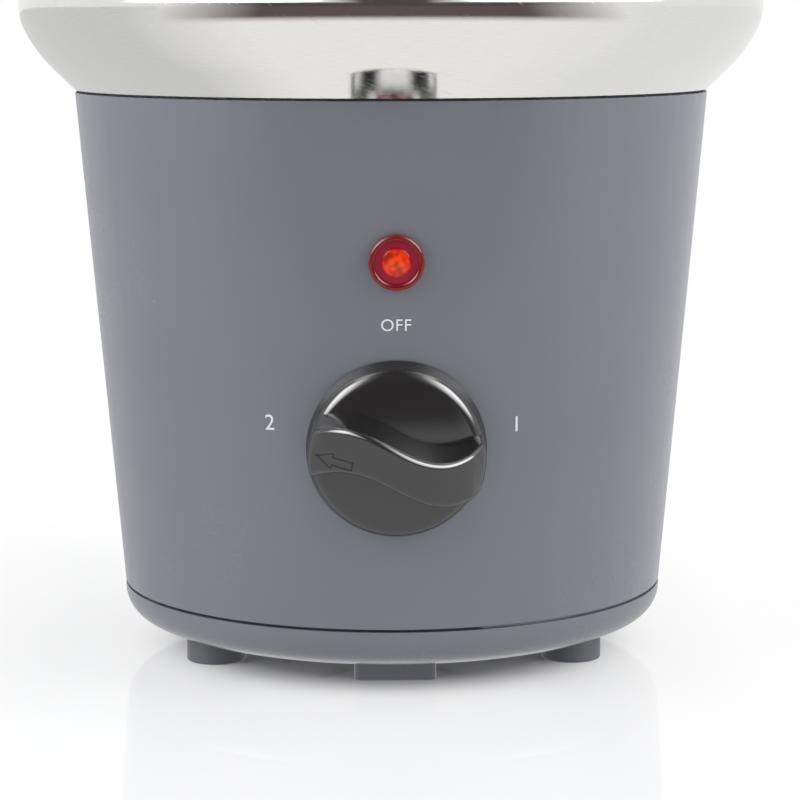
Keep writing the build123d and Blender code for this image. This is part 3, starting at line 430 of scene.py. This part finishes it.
def turned_steel(name, colour, rough, depth=0.000004, lines=5200.0, anisotropy=0.35, slant=0.0):
    """Stainless steel with its lines round the upright axis."""
    material, tree, shader = blank_material(name)
    marks = use_group(tree, LINES, Lines=lines, Length=26.0, Slant=0.0)
    darker = tuple(0.93 * c for c in colour)
    body = ramp(tree, marks.outputs["Lines"], darker, colour)
    tree.links.new(body, shader.inputs["Base Color"])
    shader.inputs["Metallic"].default_value = 1.0
    shader.inputs["Anisotropic"].default_value = anisotropy
    tangent = tree.nodes.new("ShaderNodeTangent")
    tangent.direction_type = "RADIAL"
    tangent.axis = "Z"
    tree.links.new(tangent.outputs[0], shader.inputs["Tangent"])
    uneven = ramp(tree, marks.outputs["Patches"], rough * 0.85, rough * 1.2)
    tree.links.new(uneven, shader.inputs["Roughness"])
    first = bump(tree, shader, marks.outputs["Lines"], depth)
    if slant:
        crossing = use_group(tree, LINES, Lines=3300.0, Length=9.0, Slant=slant)
        sparse = ramp(tree, crossing.outputs["Lines"], 0.0, 1.0, 0.62, 0.72)
        bump(tree, shader, sparse, depth * 0.8, under=first)
    return material


def plain_metal(name, colour, rough, grain=900.0, depth=0.00001):
    """Pressed, plated or cast metal with a faint uneven surface."""
    material, tree, shader = blank_material(name)
    marks = use_group(tree, GRAIN, Grain=grain, Marks=60.0)
    worn = use_group(tree, EDGES, Amount=0.3)
    body = ramp(tree, marks.outputs["Marks"], tuple(0.85 * c for c in colour), colour)
    edge = tuple(min(1.0, 1.2 * c) for c in colour)
    tree.links.new(mixed(tree, worn.outputs["Mask"], body, edge), shader.inputs["Base Color"])
    uneven = ramp(tree, marks.outputs["Marks"], rough * 0.8, rough * 1.3)
    tree.links.new(uneven, shader.inputs["Roughness"])
    shader.inputs["Metallic"].default_value = 1.0
    bump(tree, shader, marks.outputs["Grain"], depth)
    return material


MATERIALS = {
    "housing_grey": moulded("housing_plastic", (0.131, 0.135, 0.158), 0.26, depth=0.000003, wear=0.0),
    "bowl_steel": turned_steel("bowl_spun_steel", (0.8, 0.795, 0.78), 0.07, slant=0.045),
    "tower_steel": turned_steel("tower_satin_steel", (0.72, 0.715, 0.7), 0.2, lines=4200.0),
    "screw_white": moulded("screw_plastic", (0.64, 0.63, 0.59), 0.3, wear=0.05),
    "knob_black": moulded(
        "knob_gloss_plastic", (0.013, 0.0125, 0.013), 0.13, depth=0.0000015, wear=0.1, specular=0.8
    ),
    "foot_grey": moulded("foot_rubber", (0.075, 0.077, 0.09), 0.5, grain=1800.0, depth=0.00002),
    "deck_grey": moulded("deck_plastic", (0.1, 0.1, 0.11), 0.55, depth=0.00002),
    "zinc_steel": plain_metal("zinc_plate", (0.62, 0.63, 0.66), 0.3),
    "spring_steel": plain_metal("bare_steel", (0.42, 0.41, 0.4), 0.38),
    "stainless_bar": plain_metal("ground_bar", (0.7, 0.7, 0.69), 0.18, grain=2600.0, depth=0.000004),
    "bronze": plain_metal("sintered_bronze", (0.6, 0.38, 0.16), 0.45, grain=3000.0, depth=0.00002),
    "plate_aluminium": plain_metal(
        "cast_aluminium", (0.72, 0.73, 0.74), 0.45, grain=700.0, depth=0.00004
    ),
    "element_sheath": plain_metal("heated_sheath", (0.2, 0.18, 0.17), 0.5),
    "lamp_glass": moulded("neon_glass", (0.95, 0.45, 0.2), 0.1),
    "gear_white": moulded("acetal", (0.78, 0.77, 0.73), 0.35),
    "coil_copper": plain_metal("copper_winding", (0.7, 0.3, 0.14), 0.3, grain=4000.0, depth=0.00003),
    "magnet_black": moulded("ferrite", (0.05, 0.05, 0.055), 0.6, grain=1500.0, depth=0.00002),
    "seal_silicone": moulded("black_silicone", (0.025, 0.025, 0.028), 0.55),
    "switch_case": moulded("phenolic", (0.5, 0.46, 0.38), 0.5),
}


def glowing_lens():
    """Clear red lens lit from behind: bright facets in the middle, deep red in the sunk band."""
    material, tree, shader = blank_material("lens_red_glow")
    place = tree.nodes.new("ShaderNodeTexCoord").outputs["Object"]
    middle = panel_matrix(LAMP_Z).translation
    out = panel_matrix(LAMP_Z).to_3x3() @ Vector((0, 0, 1 / MM))
    offset = tree.nodes.new("ShaderNodeVectorMath")
    offset.operation = "SUBTRACT"
    tree.links.new(place, offset.inputs[0])
    offset.inputs[1].default_value = middle
    outward = tree.nodes.new("ShaderNodeVectorMath")
    outward.operation = "CROSS_PRODUCT"
    tree.links.new(offset.outputs[0], outward.inputs[0])
    outward.inputs[1].default_value = out
    length = tree.nodes.new("ShaderNodeVectorMath")
    length.operation = "LENGTH"
    tree.links.new(outward.outputs[0], length.inputs[0])
    radius = math_node(tree, "MULTIPLY", length.outputs["Value"], 1 / (LENS_R * MM))
    cells = tree.nodes.new("ShaderNodeTexVoronoi")
    cells.feature = "SMOOTH_F1"
    cells.inputs["Scale"].default_value = 900.0
    tree.links.new(place, cells.inputs["Vector"])
    glow = tree.nodes.new("ShaderNodeValToRGB")
    marks = glow.color_ramp.elements
    marks[0].position, marks[0].color = 0.0, (0.92, 0.085, 0.006, 1)
    marks[1].position, marks[1].color = 0.44, (0.78, 0.03, 0.004, 1)
    for position, colour in (
        (0.52, (0.34, 0.002, 0.006, 1)),
        (0.58, (0.2, 0.0, 0.016, 1)),
        (0.76, (0.17, 0.0, 0.018, 1)),
        (0.86, (0.06, 0.002, 0.003, 1)),
        (0.94, (0.12, 0.012, 0.006, 1)),
    ):
        element = marks.new(position)
        element.color = colour
    tree.links.new(radius, glow.inputs[0])
    speckle = ramp(tree, cells.outputs["Distance"], 1.0, 0.4, 0.3, 0.6)
    lit = tree.nodes.new("ShaderNodeMix")
    lit.data_type = "RGBA"
    lit.blend_type = "MULTIPLY"
    tree.links.new(ramp(tree, radius, 1.0, 0.0, 0.5, 0.56), lit.inputs["Factor"])
    tree.links.new(glow.outputs[0], lit.inputs[6])
    tree.links.new(speckle, lit.inputs[7])
    tree.links.new(lit.outputs[2], shader.inputs["Emission Color"])
    shader.inputs["Emission Strength"].default_value = 0.92
    shader.inputs["Base Color"].default_value = (0.06, 0.004, 0.004, 1)
    shader.inputs["Roughness"].default_value = 0.05
    shader.inputs["Specular IOR Level"].default_value = 0.3
    shader.inputs["Coat Weight"].default_value = 0.12
    shader.inputs["Coat Roughness"].default_value = 0.02
    inside = ramp(tree, radius, 1.0, 0.0, 0.46, 0.5)
    facets = math_node(tree, "MULTIPLY", cells.outputs["Distance"], inside)
    bump(tree, shader, facets, 0.0001, 0.5)
    return material


MATERIALS["lens_red"] = glowing_lens()
GASKET_GREY = moulded("grey_silicone", (0.13, 0.133, 0.15), 0.5)
INK = moulded("pale_ink", (0.6, 0.605, 0.63), 0.55, grain=5000.0)


def finished(piece, body, slot=None, replaces=(), material=None):
    """Gives a piece its finish, its body and the node that it stands for."""
    piece.data.materials.clear()
    piece.data.materials.append(material or MATERIALS[slot])
    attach(piece, body)
    if replaces:
        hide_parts(*replaces)
    return piece


def body_of(node):
    """The body that a node rides on, from the record."""
    for body, members in frame["record"]["behaviour"]["bodies"].items():
        if node in members:
            return body
    raise KeyError(node)


SLOT_OF = {row["node"]: row["material_slot"] for row in frame["record"]["subparts"]}


def dress(node, name, degrees=30.0):
    """Puts a smoothly shaded copy of a node in its place."""
    return finished(dressed_copy(node, name, degrees), body_of(node), SLOT_OF[node], (node,))


# Pieces


def make_bowl():
    line = arc((RIM_R - LIP_ARC_R, RIM_Z), LIP_ARC_R, 0, -LIP_TURN, 14)
    flare_turn = LIP_TURN + WALL_SLOPE - 90
    line += arc((flare_centre_r, flare_centre_z), FLARE_ARC_R, -LIP_TURN, flare_turn, 14)[1:]
    corner_flat = cone_r - (cone_z - BOWL_FLOOR_Z) / math.tan(slope)
    corner_r = corner_flat - BOWL_CORNER_R * math.tan(slope / 2)
    corner = (corner_r, BOWL_FLOOR_Z + BOWL_CORNER_R)
    line += arc(corner, BOWL_CORNER_R, WALL_SLOPE - 90, -WALL_SLOPE, 10)
    rise = RIM_Z - DRAWN_IN_FROM_Z
    line = [(r - RIM_DRAWN_IN * max(0.0, z - DRAWN_IN_FROM_Z) / rise, z) for r, z in line]
    neck_in = NECK_R - BOWL_SHEET
    line += arc((neck_in + NECK_FOOT_R, BOWL_FLOOR_Z + NECK_FOOT_R), NECK_FOOT_R, -90, -90, 6)
    line += arc((neck_in - NECK_SHOULDER_R, NECK_UNDER_Z - NECK_SHOULDER_R), NECK_SHOULDER_R, 0, 90, 6)
    line.append((NECK_HOLE_R, NECK_UNDER_Z))
    bowl = smooth(turned("steel_bowl", sheet_outline(line[::-1], BOWL_SHEET)), 50.0)
    return finished(bowl, "machine", "bowl_steel", ("bowl",))


def grip_middle(x):
    """Sideways place of the grip's centre line along the knob."""
    return -GRIP_WAVE * math.sin(math.pi * x / GRIP_WAVE_L)


def grip_crown(x):
    """Height of the grip's arched back along the knob."""
    return KNOB_H - KNOB_CROWN_R + math.sqrt(KNOB_CROWN_R**2 - x**2)


def make_grip():
    """The S-shaped grip with drafted walls, an arched back and soft edges."""
    work = bmesh.new()
    columns = (-1.0, -0.5, 0.0, 0.5, 1.0)
    reach = GRIP_END_R - GRIP_END_STEP
    stations = [reach * (2 * index / GRIP_STEPS - 1) for index in range(GRIP_STEPS + 1)]
    tops, feet = [], []
    for x in [-GRIP_END_R, *stations, GRIP_END_R]:
        top, foot = [], []
        for across in columns:
            for rail, z in ((top, grip_crown(x)), (foot, GRIP_FOOT_H)):
                half = GRIP_HALF_W + (KNOB_H - z) * math.tan(math.radians(GRIP_DRAFT))
                y = grip_middle(x) + across * half
                at = math.copysign(math.sqrt(GRIP_END_R**2 - y**2), x) if abs(x) == GRIP_END_R else x
                rail.append(work.verts.new((at, y, z)))
        tops.append(top)
        feet.append(foot)
    rims = []
    for row in range(len(tops) - 1):
        for col in range(len(columns) - 1):
            for rail in (tops, feet):
                a, b = rail[row], rail[row + 1]
                work.faces.new((a[col], b[col], b[col + 1], a[col + 1]))
        for col in (0, -1):
            wall = (tops[row][col], tops[row + 1][col], feet[row + 1][col], feet[row][col])
            work.faces.new(wall)
            rims.append((wall[0], wall[1]))
    for row in (0, -1):
        for col in range(len(columns) - 1):
            a, b = tops[row], feet[row]
            work.faces.new((a[col], a[col + 1], b[col + 1], b[col]))
            rims.append((a[col], a[col + 1]))
        for col in (0, -1):
            rims.append((tops[row][col], feet[row][col]))
    bmesh.ops.recalc_face_normals(work, faces=work.faces)
    bmesh.ops.bevel(
        work,
        geom=[work.edges.get(pair) for pair in rims],
        offset=GRIP_EDGE_R,
        segments=6,
        profile=0.5,
        affect="EDGES",
        clamp_overlap=True,
    )
    bmesh.ops.transform(work, matrix=panel_matrix(KNOB_Z), verts=work.verts)
    mesh = bpy.data.meshes.new("knob_grip")
    work.to_mesh(mesh)
    work.free()
    grip = even_normals(new_object("knob_grip", mesh), 50.0)
    return finished(grip, "selector", "knob_black", ("knob",))


def make_arrow():
    """The outline of the arrow cut in the grip's end, as a thin dark line: painted shade of the cut."""
    half, neck = ARROW_W / 2, -ARROW_L / 2 + ARROW_HEAD
    corners = [(-ARROW_L / 2, 0), (neck, ARROW_W), (neck, half), (ARROW_L / 2, half)]
    corners += [(ARROW_L / 2, -half), (neck, -half), (neck, -ARROW_W)]
    turn = Matrix.Rotation(math.radians(ARROW_TILT), 2)
    corners = [turn @ Vector(corner) + Vector(ARROW_AT) for corner in corners]
    work = bmesh.new()
    for index, start in enumerate(corners):
        end = corners[(index + 1) % len(corners)]
        along = (end - start).normalized() * ARROW_SHADE_LINE / 2
        side = Vector((-along.y, along.x))
        steps = 8
        rails = []
        for step in range(steps + 1):
            middle = (start - along).lerp(end + along, step / steps)
            pair = [middle + side, middle - side]
            rails.append([work.verts.new((p.x, p.y, grip_crown(p.x) + ARROW_LIFT)) for p in pair])
        for a, b in zip(rails, rails[1:]):
            work.faces.new((a[0], a[1], b[1], b[0]))
    bmesh.ops.solidify(work, geom=work.faces, thickness=ARROW_LIFT * 3)
    bmesh.ops.recalc_face_normals(work, faces=work.faces)
    bmesh.ops.transform(work, matrix=panel_matrix(KNOB_Z), verts=work.verts)
    mesh = bpy.data.meshes.new("knob_arrow_shade_line")
    work.to_mesh(mesh)
    work.free()
    # The matte near-black line is painted shade where the cut arrow's walls would be in shadow
    return finished(new_object("knob_arrow_shade_line", mesh), "selector", material=MATERIALS["seal_silicone"])


def make_knob_disc():
    """The knob's disc with a slightly domed face and a soft edge."""
    soft, shoulder = KNOB_SOFT_EDGE, KNOB_DISC_H - KNOB_DOME
    outline = [(0, KNOB_DISC_H)]
    for index in range(1, 9):
        radius = (KNOB_FACE_R - soft) * index / 8
        outline.append((radius, KNOB_DISC_H - KNOB_DOME * (radius / (KNOB_FACE_R - soft)) ** 2))
    outline += arc((KNOB_FACE_R - soft, shoulder - soft), soft, 84, -84, 10)
    outline += [(KNOB_BASE_R, KNOB_GAP), (0, KNOB_GAP)]
    disc = turned("knob_disc", outline, 192, panel_matrix(KNOB_Z))
    return finished(even_normals(disc, 40.0), "selector", "knob_black", ("knob",))


def fin_tree():
    """A helical fin round the upright axis: a rounded profile swept along a spiral."""
    tree = node_tree("helical_fin")
    keys = {
        "outer": tree_input(tree, "Outer radius", AUGER_R * MM),
        "root": tree_input(tree, "Root radius", AUGER_ROOT_R * MM),
        "pitch": tree_input(tree, "Pitch", AUGER_PITCH * MM),
        "turns": tree_input(tree, "Turns", float(AUGER_TURNS)),
        "thickness": tree_input(tree, "Thickness", AUGER_FLIGHT_T * MM),
        "steps": tree_input(tree, "Steps per turn", 96, "NodeSocketInt"),
        "material": tree_input(tree, "Material", None, "NodeSocketMaterial"),
    }
    given, put = add(tree, "NodeGroupInput"), add(tree, "NodeGroupOutput")
    outer, root = given.outputs["Outer radius"], given.outputs["Root radius"]
    pitch, thick = given.outputs["Pitch"], given.outputs["Thickness"]
    turns = math_node(tree, "SUBTRACT", given.outputs["Turns"], math_node(tree, "DIVIDE", thick, pitch))
    middle = math_node(tree, "MULTIPLY", math_node(tree, "ADD", outer, root), 0.5)
    spiral = add(tree, "GeometryNodeCurveSpiral")
    spiral.inputs["Reverse"].default_value = True
    tree.links.new(given.outputs["Steps per turn"], spiral.inputs["Resolution"])
    tree.links.new(turns, spiral.inputs["Rotations"])
    tree.links.new(middle, spiral.inputs["Start Radius"])
    tree.links.new(middle, spiral.inputs["End Radius"])
    tree.links.new(math_node(tree, "MULTIPLY", turns, pitch), spiral.inputs["Height"])
    upright = add(tree, "GeometryNodeSetCurveNormal", mode="Z_UP")
    tree.links.new(spiral.outputs["Curve"], upright.inputs["Curve"])
    profile = add(tree, "GeometryNodeCurvePrimitiveQuadrilateral")
    tree.links.new(math_node(tree, "SUBTRACT", outer, root), profile.inputs["Width"])
    tree.links.new(thick, profile.inputs["Height"])
    rounded = add(tree, "GeometryNodeFilletCurve", mode="POLY")
    rounded.inputs["Count"].default_value = 4
    rounded.inputs["Radius"].default_value = FIN_EDGE_R * MM
    tree.links.new(profile.outputs["Curve"], rounded.inputs["Curve"])
    swept = add(tree, "GeometryNodeCurveToMesh")
    swept.inputs["Fill Caps"].default_value = True
    tree.links.new(upright.outputs["Curve"], swept.inputs["Curve"])
    tree.links.new(rounded.outputs["Curve"], swept.inputs["Profile Curve"])
    real = add(tree, "GeometryNodeRealizeInstances")
    tree.links.new(swept.outputs["Mesh"], real.inputs["Geometry"])
    coated = add(tree, "GeometryNodeSetMaterial")
    tree.links.new(real.outputs["Geometry"], coated.inputs["Geometry"])
    tree.links.new(given.outputs["Material"], coated.inputs["Material"])
    tree.links.new(coated.outputs["Geometry"], put.inputs["Geometry"])
    return tree, keys


def make_screw():
    """The lifting screw: a helical fin on a core with the shaft's socket in its foot."""
    tree, keys = fin_tree()
    fin = grown("screw_fin", tree, {keys["material"]: MATERIALS["screw_white"]})
    half = 180 * AUGER_FLIGHT_T / AUGER_PITCH
    fin.data.transform(
        Matrix.Translation((0, 0, (AUGER_LOW_Z + AUGER_FLIGHT_T / 2) * MM))
        @ Matrix.Rotation(math.radians(half), 4, "Z")
    )
    top = AUGER_LOW_Z + AUGER_PITCH * AUGER_TURNS
    tip, tip_r = top + AUGER_NOSE_H, AUGER_CORE_R / 2
    outline = [(AUGER_SOCKET_R, AUGER_LOW_Z), (AUGER_CORE_R - AUGER_EDGE, AUGER_LOW_Z)]
    outline += [(AUGER_CORE_R, AUGER_LOW_Z + AUGER_EDGE), (AUGER_CORE_R, top)]
    outline += [(tip_r + AUGER_EDGE, tip - 0.5), (tip_r - AUGER_EDGE, tip), (0, tip)]
    outline += [(0, AUGER_SOCKET_TOP_Z), (AUGER_SOCKET_R, AUGER_SOCKET_TOP_Z)]
    core = turned("screw_core", outline, 96)
    for piece in (fin, core):
        finished(smooth(piece, 40.0), body_of("auger"), SLOT_OF["auger"], ("auger",))


def make_lens():
    """Clear red lens: a rounded ring, a sunk band inside it and a raised faceted middle."""
    ring = arc((LENS_R - LENS_RING / 2, LENS_RING_H - LENS_RING / 2), LENS_RING / 2, 0, 180, 14)
    outline = [(0, -LENS_BACK), (LENS_BODY_R, -LENS_BACK), (LENS_BODY_R, 0.02), (LENS_R, 0.02)]
    outline += ring
    outline += [(LENS_R - LENS_RING, LENS_SUNK), (LENS_MIDDLE_R + 0.15, LENS_SUNK)]
    outline += arc((LENS_MIDDLE_R - 0.25, LENS_MIDDLE_H - 0.25), 0.25, 0, 90, 4)
    outline.append((0, LENS_MIDDLE_H + 0.15))
    lens = turned("lamp_lens", outline, 96, panel_matrix(LAMP_Z))
    return finished(smooth(lens, 40.0), "machine", "lens_red", ("pilot_lens",))


def make_housing():
    """The housing from the frame, its top edge drawn up close under the bowl."""

    def raise_edge(work):
        for vert in work.verts:
            high = vert.co.z / MM > housing_top_z - EDGE_BAND
            if high and vert.co.xy.length / MM > HOUSING_TOP_R - EDGE_BAND:
                vert.co.z += GASKET_CREST * MM

    shell = dressed_copy("housing", "housing_shell", 30.0, raise_edge)
    return finished(shell, "machine", "housing_grey", ("housing",))


make_housing()
make_grip()
make_arrow()
make_knob_disc()
make_lens()
for node, name, degrees in (
    ("base_tray", "base_pan", 30.0),
    ("foot_front", "front_block", 30.0),
    ("foot_left", "left_foot", 30.0),
    ("foot_right", "right_foot", 30.0),
    ("foot_rear", "rear_foot", 30.0),
    ("cord_inlet", "inlet_bush", 30.0),
    ("tower_base", "tower_skirt", 30.0),
    ("lower_tier", "lower_dish", 30.0),
    ("middle_tier", "middle_dish", 30.0),
    ("crown", "crown_dish", 30.0),
    ("bush_nut", "neck_nut", 25.0),
    ("shaft_seal", "neck_seal", 30.0),
    ("drive_shaft", "shaft_bar", 25.0),
):
    dress(node, name, degrees)

make_bowl()
make_screw()
seal = dressed_copy("bowl_gasket", "bowl_seal")
finished(seal, "machine", SLOT_OF["bowl_gasket"], ("bowl_gasket",), GASKET_GREY)


def printed(name, text, height, across, up, tilt=0.0):
    """Thin printed characters on the front of the housing, centred at a place on the panel."""
    curve = bpy.data.curves.new(name, "FONT")
    curve.body = text
    curve.align_x = "CENTER"
    curve.align_y = "CENTER"
    curve.size = height / 0.69
    curve.extrude = 0.02
    curve.resolution_u = 6
    curve.space_character = 1.06
    source = new_object(name, curve)
    source.data.materials.clear()
    graph = bpy.context.evaluated_depsgraph_get()
    graph.update()
    mesh = bpy.data.meshes.new_from_object(source.evaluated_get(graph))
    bpy.data.objects.remove(source)
    work = bmesh.new()
    work.from_mesh(mesh)
    bmesh.ops.remove_doubles(work, verts=work.verts, dist=0.001)
    bmesh.ops.triangulate(work, faces=work.faces)
    turn = Matrix.Rotation(math.radians(tilt), 4, "Z")
    for vert in work.verts:
        flat = turn @ vert.co
        z = up + flat.y * math.cos(taper)
        radius = shell_radius(z)
        angle = (across + flat.x) / radius - math.pi / 2
        out = radius + 0.03 + flat.z
        vert.co = (out * math.cos(angle) * MM, out * math.sin(angle) * MM, z * MM)
    bmesh.ops.recalc_face_normals(work, faces=work.faces)
    work.to_mesh(mesh)
    work.free()
    return finished(new_object(name, mesh), "machine", material=INK)


printed("mark_off", "OFF", 2.55, -0.1, 83.3)
printed("mark_one", "1", 3.4, 26.8, 60.8)
printed("mark_two", "2", 3.4, -28.2, 61.3)

# Finishes of the pieces kept from the frame
for node, piece in frame["nodes"].items():
    if not piece.hide_render:
        piece.data.materials.clear()
        piece.data.materials.append(MATERIALS[SLOT_OF[node]])

# Floor and light
FLOOR_RADIUS = 6.0
PAPER_NEAR, PAPER_FAR = 0.12, 0.3
SHEET_FRONT, SHEET_BLUR = 0.43, 0.09
# Painted shade: the radii over which the floor's white glow comes back around the pan
SHADE_IN, SHADE_OUT = 0.044, 0.0605
# Painted light: the floor turns plain white sooner and more fully on the right than on the left
RIGHT_FADE, LEFT_FADE = (0.045, 0.085), (0.08, 0.12)
PAPER_WHITE, SHEET_GLOSS, SHEET_ROUGH = 0.56, 0.13, 0.045
AHEAD = (0.33, 0.78)
DARK_ROOM, DARK_STRIP = (0.13, 0.1, 0.1), (0.09, 0.075, 0.075)
BOX_GLOW, OPEN_SKY = (10.0, 10.0, 10.0), (0.95, 0.95, 0.95)
WALL_AHEAD, WALL_ASIDE = (0.56, 0.57, 0.59), (2.6, 2.61, 2.64)


def frontness(tree, flat_place):
    """How squarely a direction on the ground faces the front, from minus one to one."""
    split = tree.nodes.new("ShaderNodeSeparateXYZ")
    tree.links.new(flat_place, split.inputs[0])
    span = tree.nodes.new("ShaderNodeVectorMath")
    span.operation = "LENGTH"
    tree.links.new(flat_place, span.inputs[0])
    ahead = math_node(tree, "MULTIPLY", split.outputs[1], -1.0)
    return math_node(tree, "DIVIDE", ahead, span.outputs["Value"]), span.outputs["Value"]


def emission(tree, colour):
    node = tree.nodes.new("ShaderNodeEmission")
    if isinstance(colour, tuple):
        node.inputs["Color"].default_value = (*colour, 1)
    else:
        tree.links.new(colour, node.inputs["Color"])
    return node.outputs[0]


def mix_shader(tree, fac, first, second):
    node = tree.nodes.new("ShaderNodeMixShader")
    if isinstance(fac, float):
        node.inputs[0].default_value = fac
    else:
        tree.links.new(fac, node.inputs[0])
    tree.links.new(first, node.inputs[1])
    tree.links.new(second, node.inputs[2])
    return node.outputs[0]


def make_floor():
    """A glossy white sheet: shadows near the fountain, painted shade under the pan, pure white further
    out.
    """
    work = bmesh.new()
    bmesh.ops.create_circle(work, cap_ends=True, radius=FLOOR_RADIUS, segments=96)
    mesh = bpy.data.meshes.new("floor")
    work.to_mesh(mesh)
    work.free()
    floor = new_object("floor", mesh)
    floor.location.z = -0.0001
    material = bpy.data.materials.new("white_sweep")
    material.use_nodes = True
    tree = material.node_tree
    tree.nodes.clear()
    put = tree.nodes.new("ShaderNodeOutputMaterial")
    path = tree.nodes.new("ShaderNodeLightPath")
    place = tree.nodes.new("ShaderNodeTexCoord").outputs["Object"]
    facing, span = frontness(tree, place)
    soft = tree.nodes.new("ShaderNodeBsdfDiffuse")
    soft.inputs["Color"].default_value = (0.84, 0.84, 0.845, 1)
    gloss = tree.nodes.new("ShaderNodeBsdfGlossy")
    gloss.inputs["Roughness"].default_value = SHEET_ROUGH
    gloss.inputs["Color"].default_value = (1, 1, 1, 1)
    white = emission(tree, (1.0, 1.0, 1.0))
    # Painted shade under the pan: the white glow is taken away near the axis, so the floor shows its
    # full diffuse shade there
    white_outside_pan_shade = ramp(tree, span, 0.0, PAPER_WHITE, SHADE_IN, SHADE_OUT)
    paper = mix_shader(tree, white_outside_pan_shade, soft.outputs[0], white)
    shiny = mix_shader(tree, SHEET_GLOSS, paper, gloss.outputs[0])
    across = tree.nodes.new("ShaderNodeSeparateXYZ")
    tree.links.new(place, across.inputs[0])
    right = across.outputs[0]
    left = math_node(tree, "MULTIPLY", right, -1.0)
    # Painted light: the floor's shadows wash out into plain white, sooner and more fully on the right
    # than on the left
    right_fade = ramp(tree, right, 0.0, 0.85, *RIGHT_FADE)
    left_fade = ramp(tree, left, 0.0, 0.7, *LEFT_FADE)
    aside = math_node(tree, "MAXIMUM", right_fade, left_fade)
    away = math_node(tree, "MAXIMUM", ramp(tree, span, 0.0, 1.0, PAPER_NEAR, PAPER_FAR), aside)
    seen = mix_shader(tree, away, shiny, white)
    beyond = ramp(tree, span, 0.0, 1.0, SHEET_FRONT - SHEET_BLUR, SHEET_FRONT + SHEET_BLUR)
    ahead = ramp(tree, facing, 0.0, 1.0, *AHEAD)
    dark = math_node(tree, "MULTIPLY", beyond, ahead)
    from_left = math_node(tree, "ADD", right, 0.5)
    sides = ramp(tree, from_left, (0.72, 0.72, 0.72), (0.9, 0.9, 0.9), 0.4, 0.6)
    sheet = mixed(tree, ramp(tree, facing, 0.0, 1.0, 0.1, 0.75), sides, (1.0, 0.995, 0.985))
    mirrored = emission(tree, mixed(tree, dark, sheet, DARK_ROOM))
    unseen = mix_shader(tree, path.outputs["Is Glossy Ray"], soft.outputs[0], mirrored)
    tree.links.new(mix_shader(tree, path.outputs["Is Camera Ray"], unseen, seen), put.inputs[0])
    floor.data.materials.append(material)


def make_world():
    """White studio: brighter walls at the sides for soft light, a dark strip ahead for reflections."""
    world = bpy.data.worlds.new("studio")
    bpy.context.scene.world = world
    world.use_nodes = True
    tree = world.node_tree
    tree.nodes.clear()
    put = tree.nodes.new("ShaderNodeOutputWorld")
    path = tree.nodes.new("ShaderNodeLightPath")
    place = tree.nodes.new("ShaderNodeTexCoord").outputs["Generated"]
    split = tree.nodes.new("ShaderNodeSeparateXYZ")
    tree.links.new(place, split.inputs[0])
    aside = math_node(tree, "ABSOLUTE", split.outputs[0])
    ahead = math_node(tree, "MULTIPLY", split.outputs[1], -1.0)
    up = split.outputs[2]
    in_front = ramp(tree, ahead, 0.0, 1.0, 0.0, 0.25)
    near_middle = ramp(tree, aside, 1.0, 0.0, 0.16, 0.34)
    low = ramp(tree, up, 1.0, 0.0, 0.06, 0.2)
    low_dark = math_node(tree, "MULTIPLY", low, ramp(tree, ahead, 0.0, 1.0, *AHEAD))
    dark = math_node(tree, "MAXIMUM", math_node(tree, "MULTIPLY", in_front, near_middle), low_dark)
    wide, raised = ramp(tree, aside, 0.0, 1.0, 0.34, 0.6), ramp(tree, up, 0.0, 1.0, 0.08, 0.4)
    boxes = math_node(tree, "MULTIPLY", wide, raised)
    boxes = math_node(tree, "MULTIPLY", boxes, ramp(tree, ahead, 0.0, 1.0, 0.0, 0.3))
    lit = mixed(tree, boxes, OPEN_SKY, BOX_GLOW)
    mirrored = mixed(tree, dark, lit, DARK_STRIP)
    walls = ramp(tree, aside, WALL_AHEAD, WALL_ASIDE, 0.4, 0.98)

    def background(colour):
        node = tree.nodes.new("ShaderNodeBackground")
        if isinstance(colour, tuple):
            node.inputs[0].default_value = (*colour, 1)
        else:
            tree.links.new(colour, node.inputs[0])
        return node.outputs[0]

    unseen = mix_shader(tree, path.outputs["Is Glossy Ray"], background(walls), background(mirrored))
    seen = background((1.0, 1.0, 1.0))
    tree.links.new(mix_shader(tree, path.outputs["Is Camera Ray"], unseen, seen), put.inputs[0])


def softbox(name, place, target, size, power):
    light = bpy.data.lights.new(name, "AREA")
    light.shape = "RECTANGLE"
    light.size, light.size_y = size
    light.energy = power
    lamp = bpy.data.objects.new(name, light)
    bpy.context.scene.collection.objects.link(lamp)
    lamp.location = place
    aim = Vector(target) - Vector(place)
    lamp.rotation_euler = aim.to_track_quat("-Z", "Y").to_euler()


make_floor()
make_world()
softbox("left_softbox", (-1.35, -0.6, 0.85), (0, 0, 0.08), (0.9, 1.1), 10.0)
softbox("right_softbox", (1.35, -0.6, 0.85), (0, 0, 0.08), (0.7, 1.0), 9.0)

# Camera, from the ellipses of the rim, the housing's edge and the seam in the picture
FRAME_PIXELS = 800
FOCAL_PIXELS = 2768
SENSOR = 36.0
CAMERA_DISTANCE = 0.656
CAMERA_SIDE = 0.00194
CAMERA_HEIGHT = 0.1516
CAMERA_PITCH = 8.18
CAMERA_AZIMUTH = -1.0
CAMERA_ROLL = -0.0018


def make_camera():
    data = bpy.data.cameras.new("camera")
    data.sensor_width = SENSOR
    data.lens = SENSOR * FOCAL_PIXELS / FRAME_PIXELS
    data.clip_start, data.clip_end = 0.01, 30.0
    camera = bpy.data.objects.new("camera", data)
    bpy.context.scene.collection.objects.link(camera)
    level = Matrix.Rotation(math.radians(90 - CAMERA_PITCH), 4, "X")
    rolled = level @ Matrix.Rotation(CAMERA_ROLL, 4, "Z")
    place = Matrix.Translation((CAMERA_SIDE, -CAMERA_DISTANCE, CAMERA_HEIGHT))
    camera.matrix_world = Matrix.Rotation(math.radians(CAMERA_AZIMUTH), 4, "Z") @ place @ rolled
    bpy.context.scene.camera = camera


make_camera()
bpy.context.scene.view_settings.view_transform = "Standard"
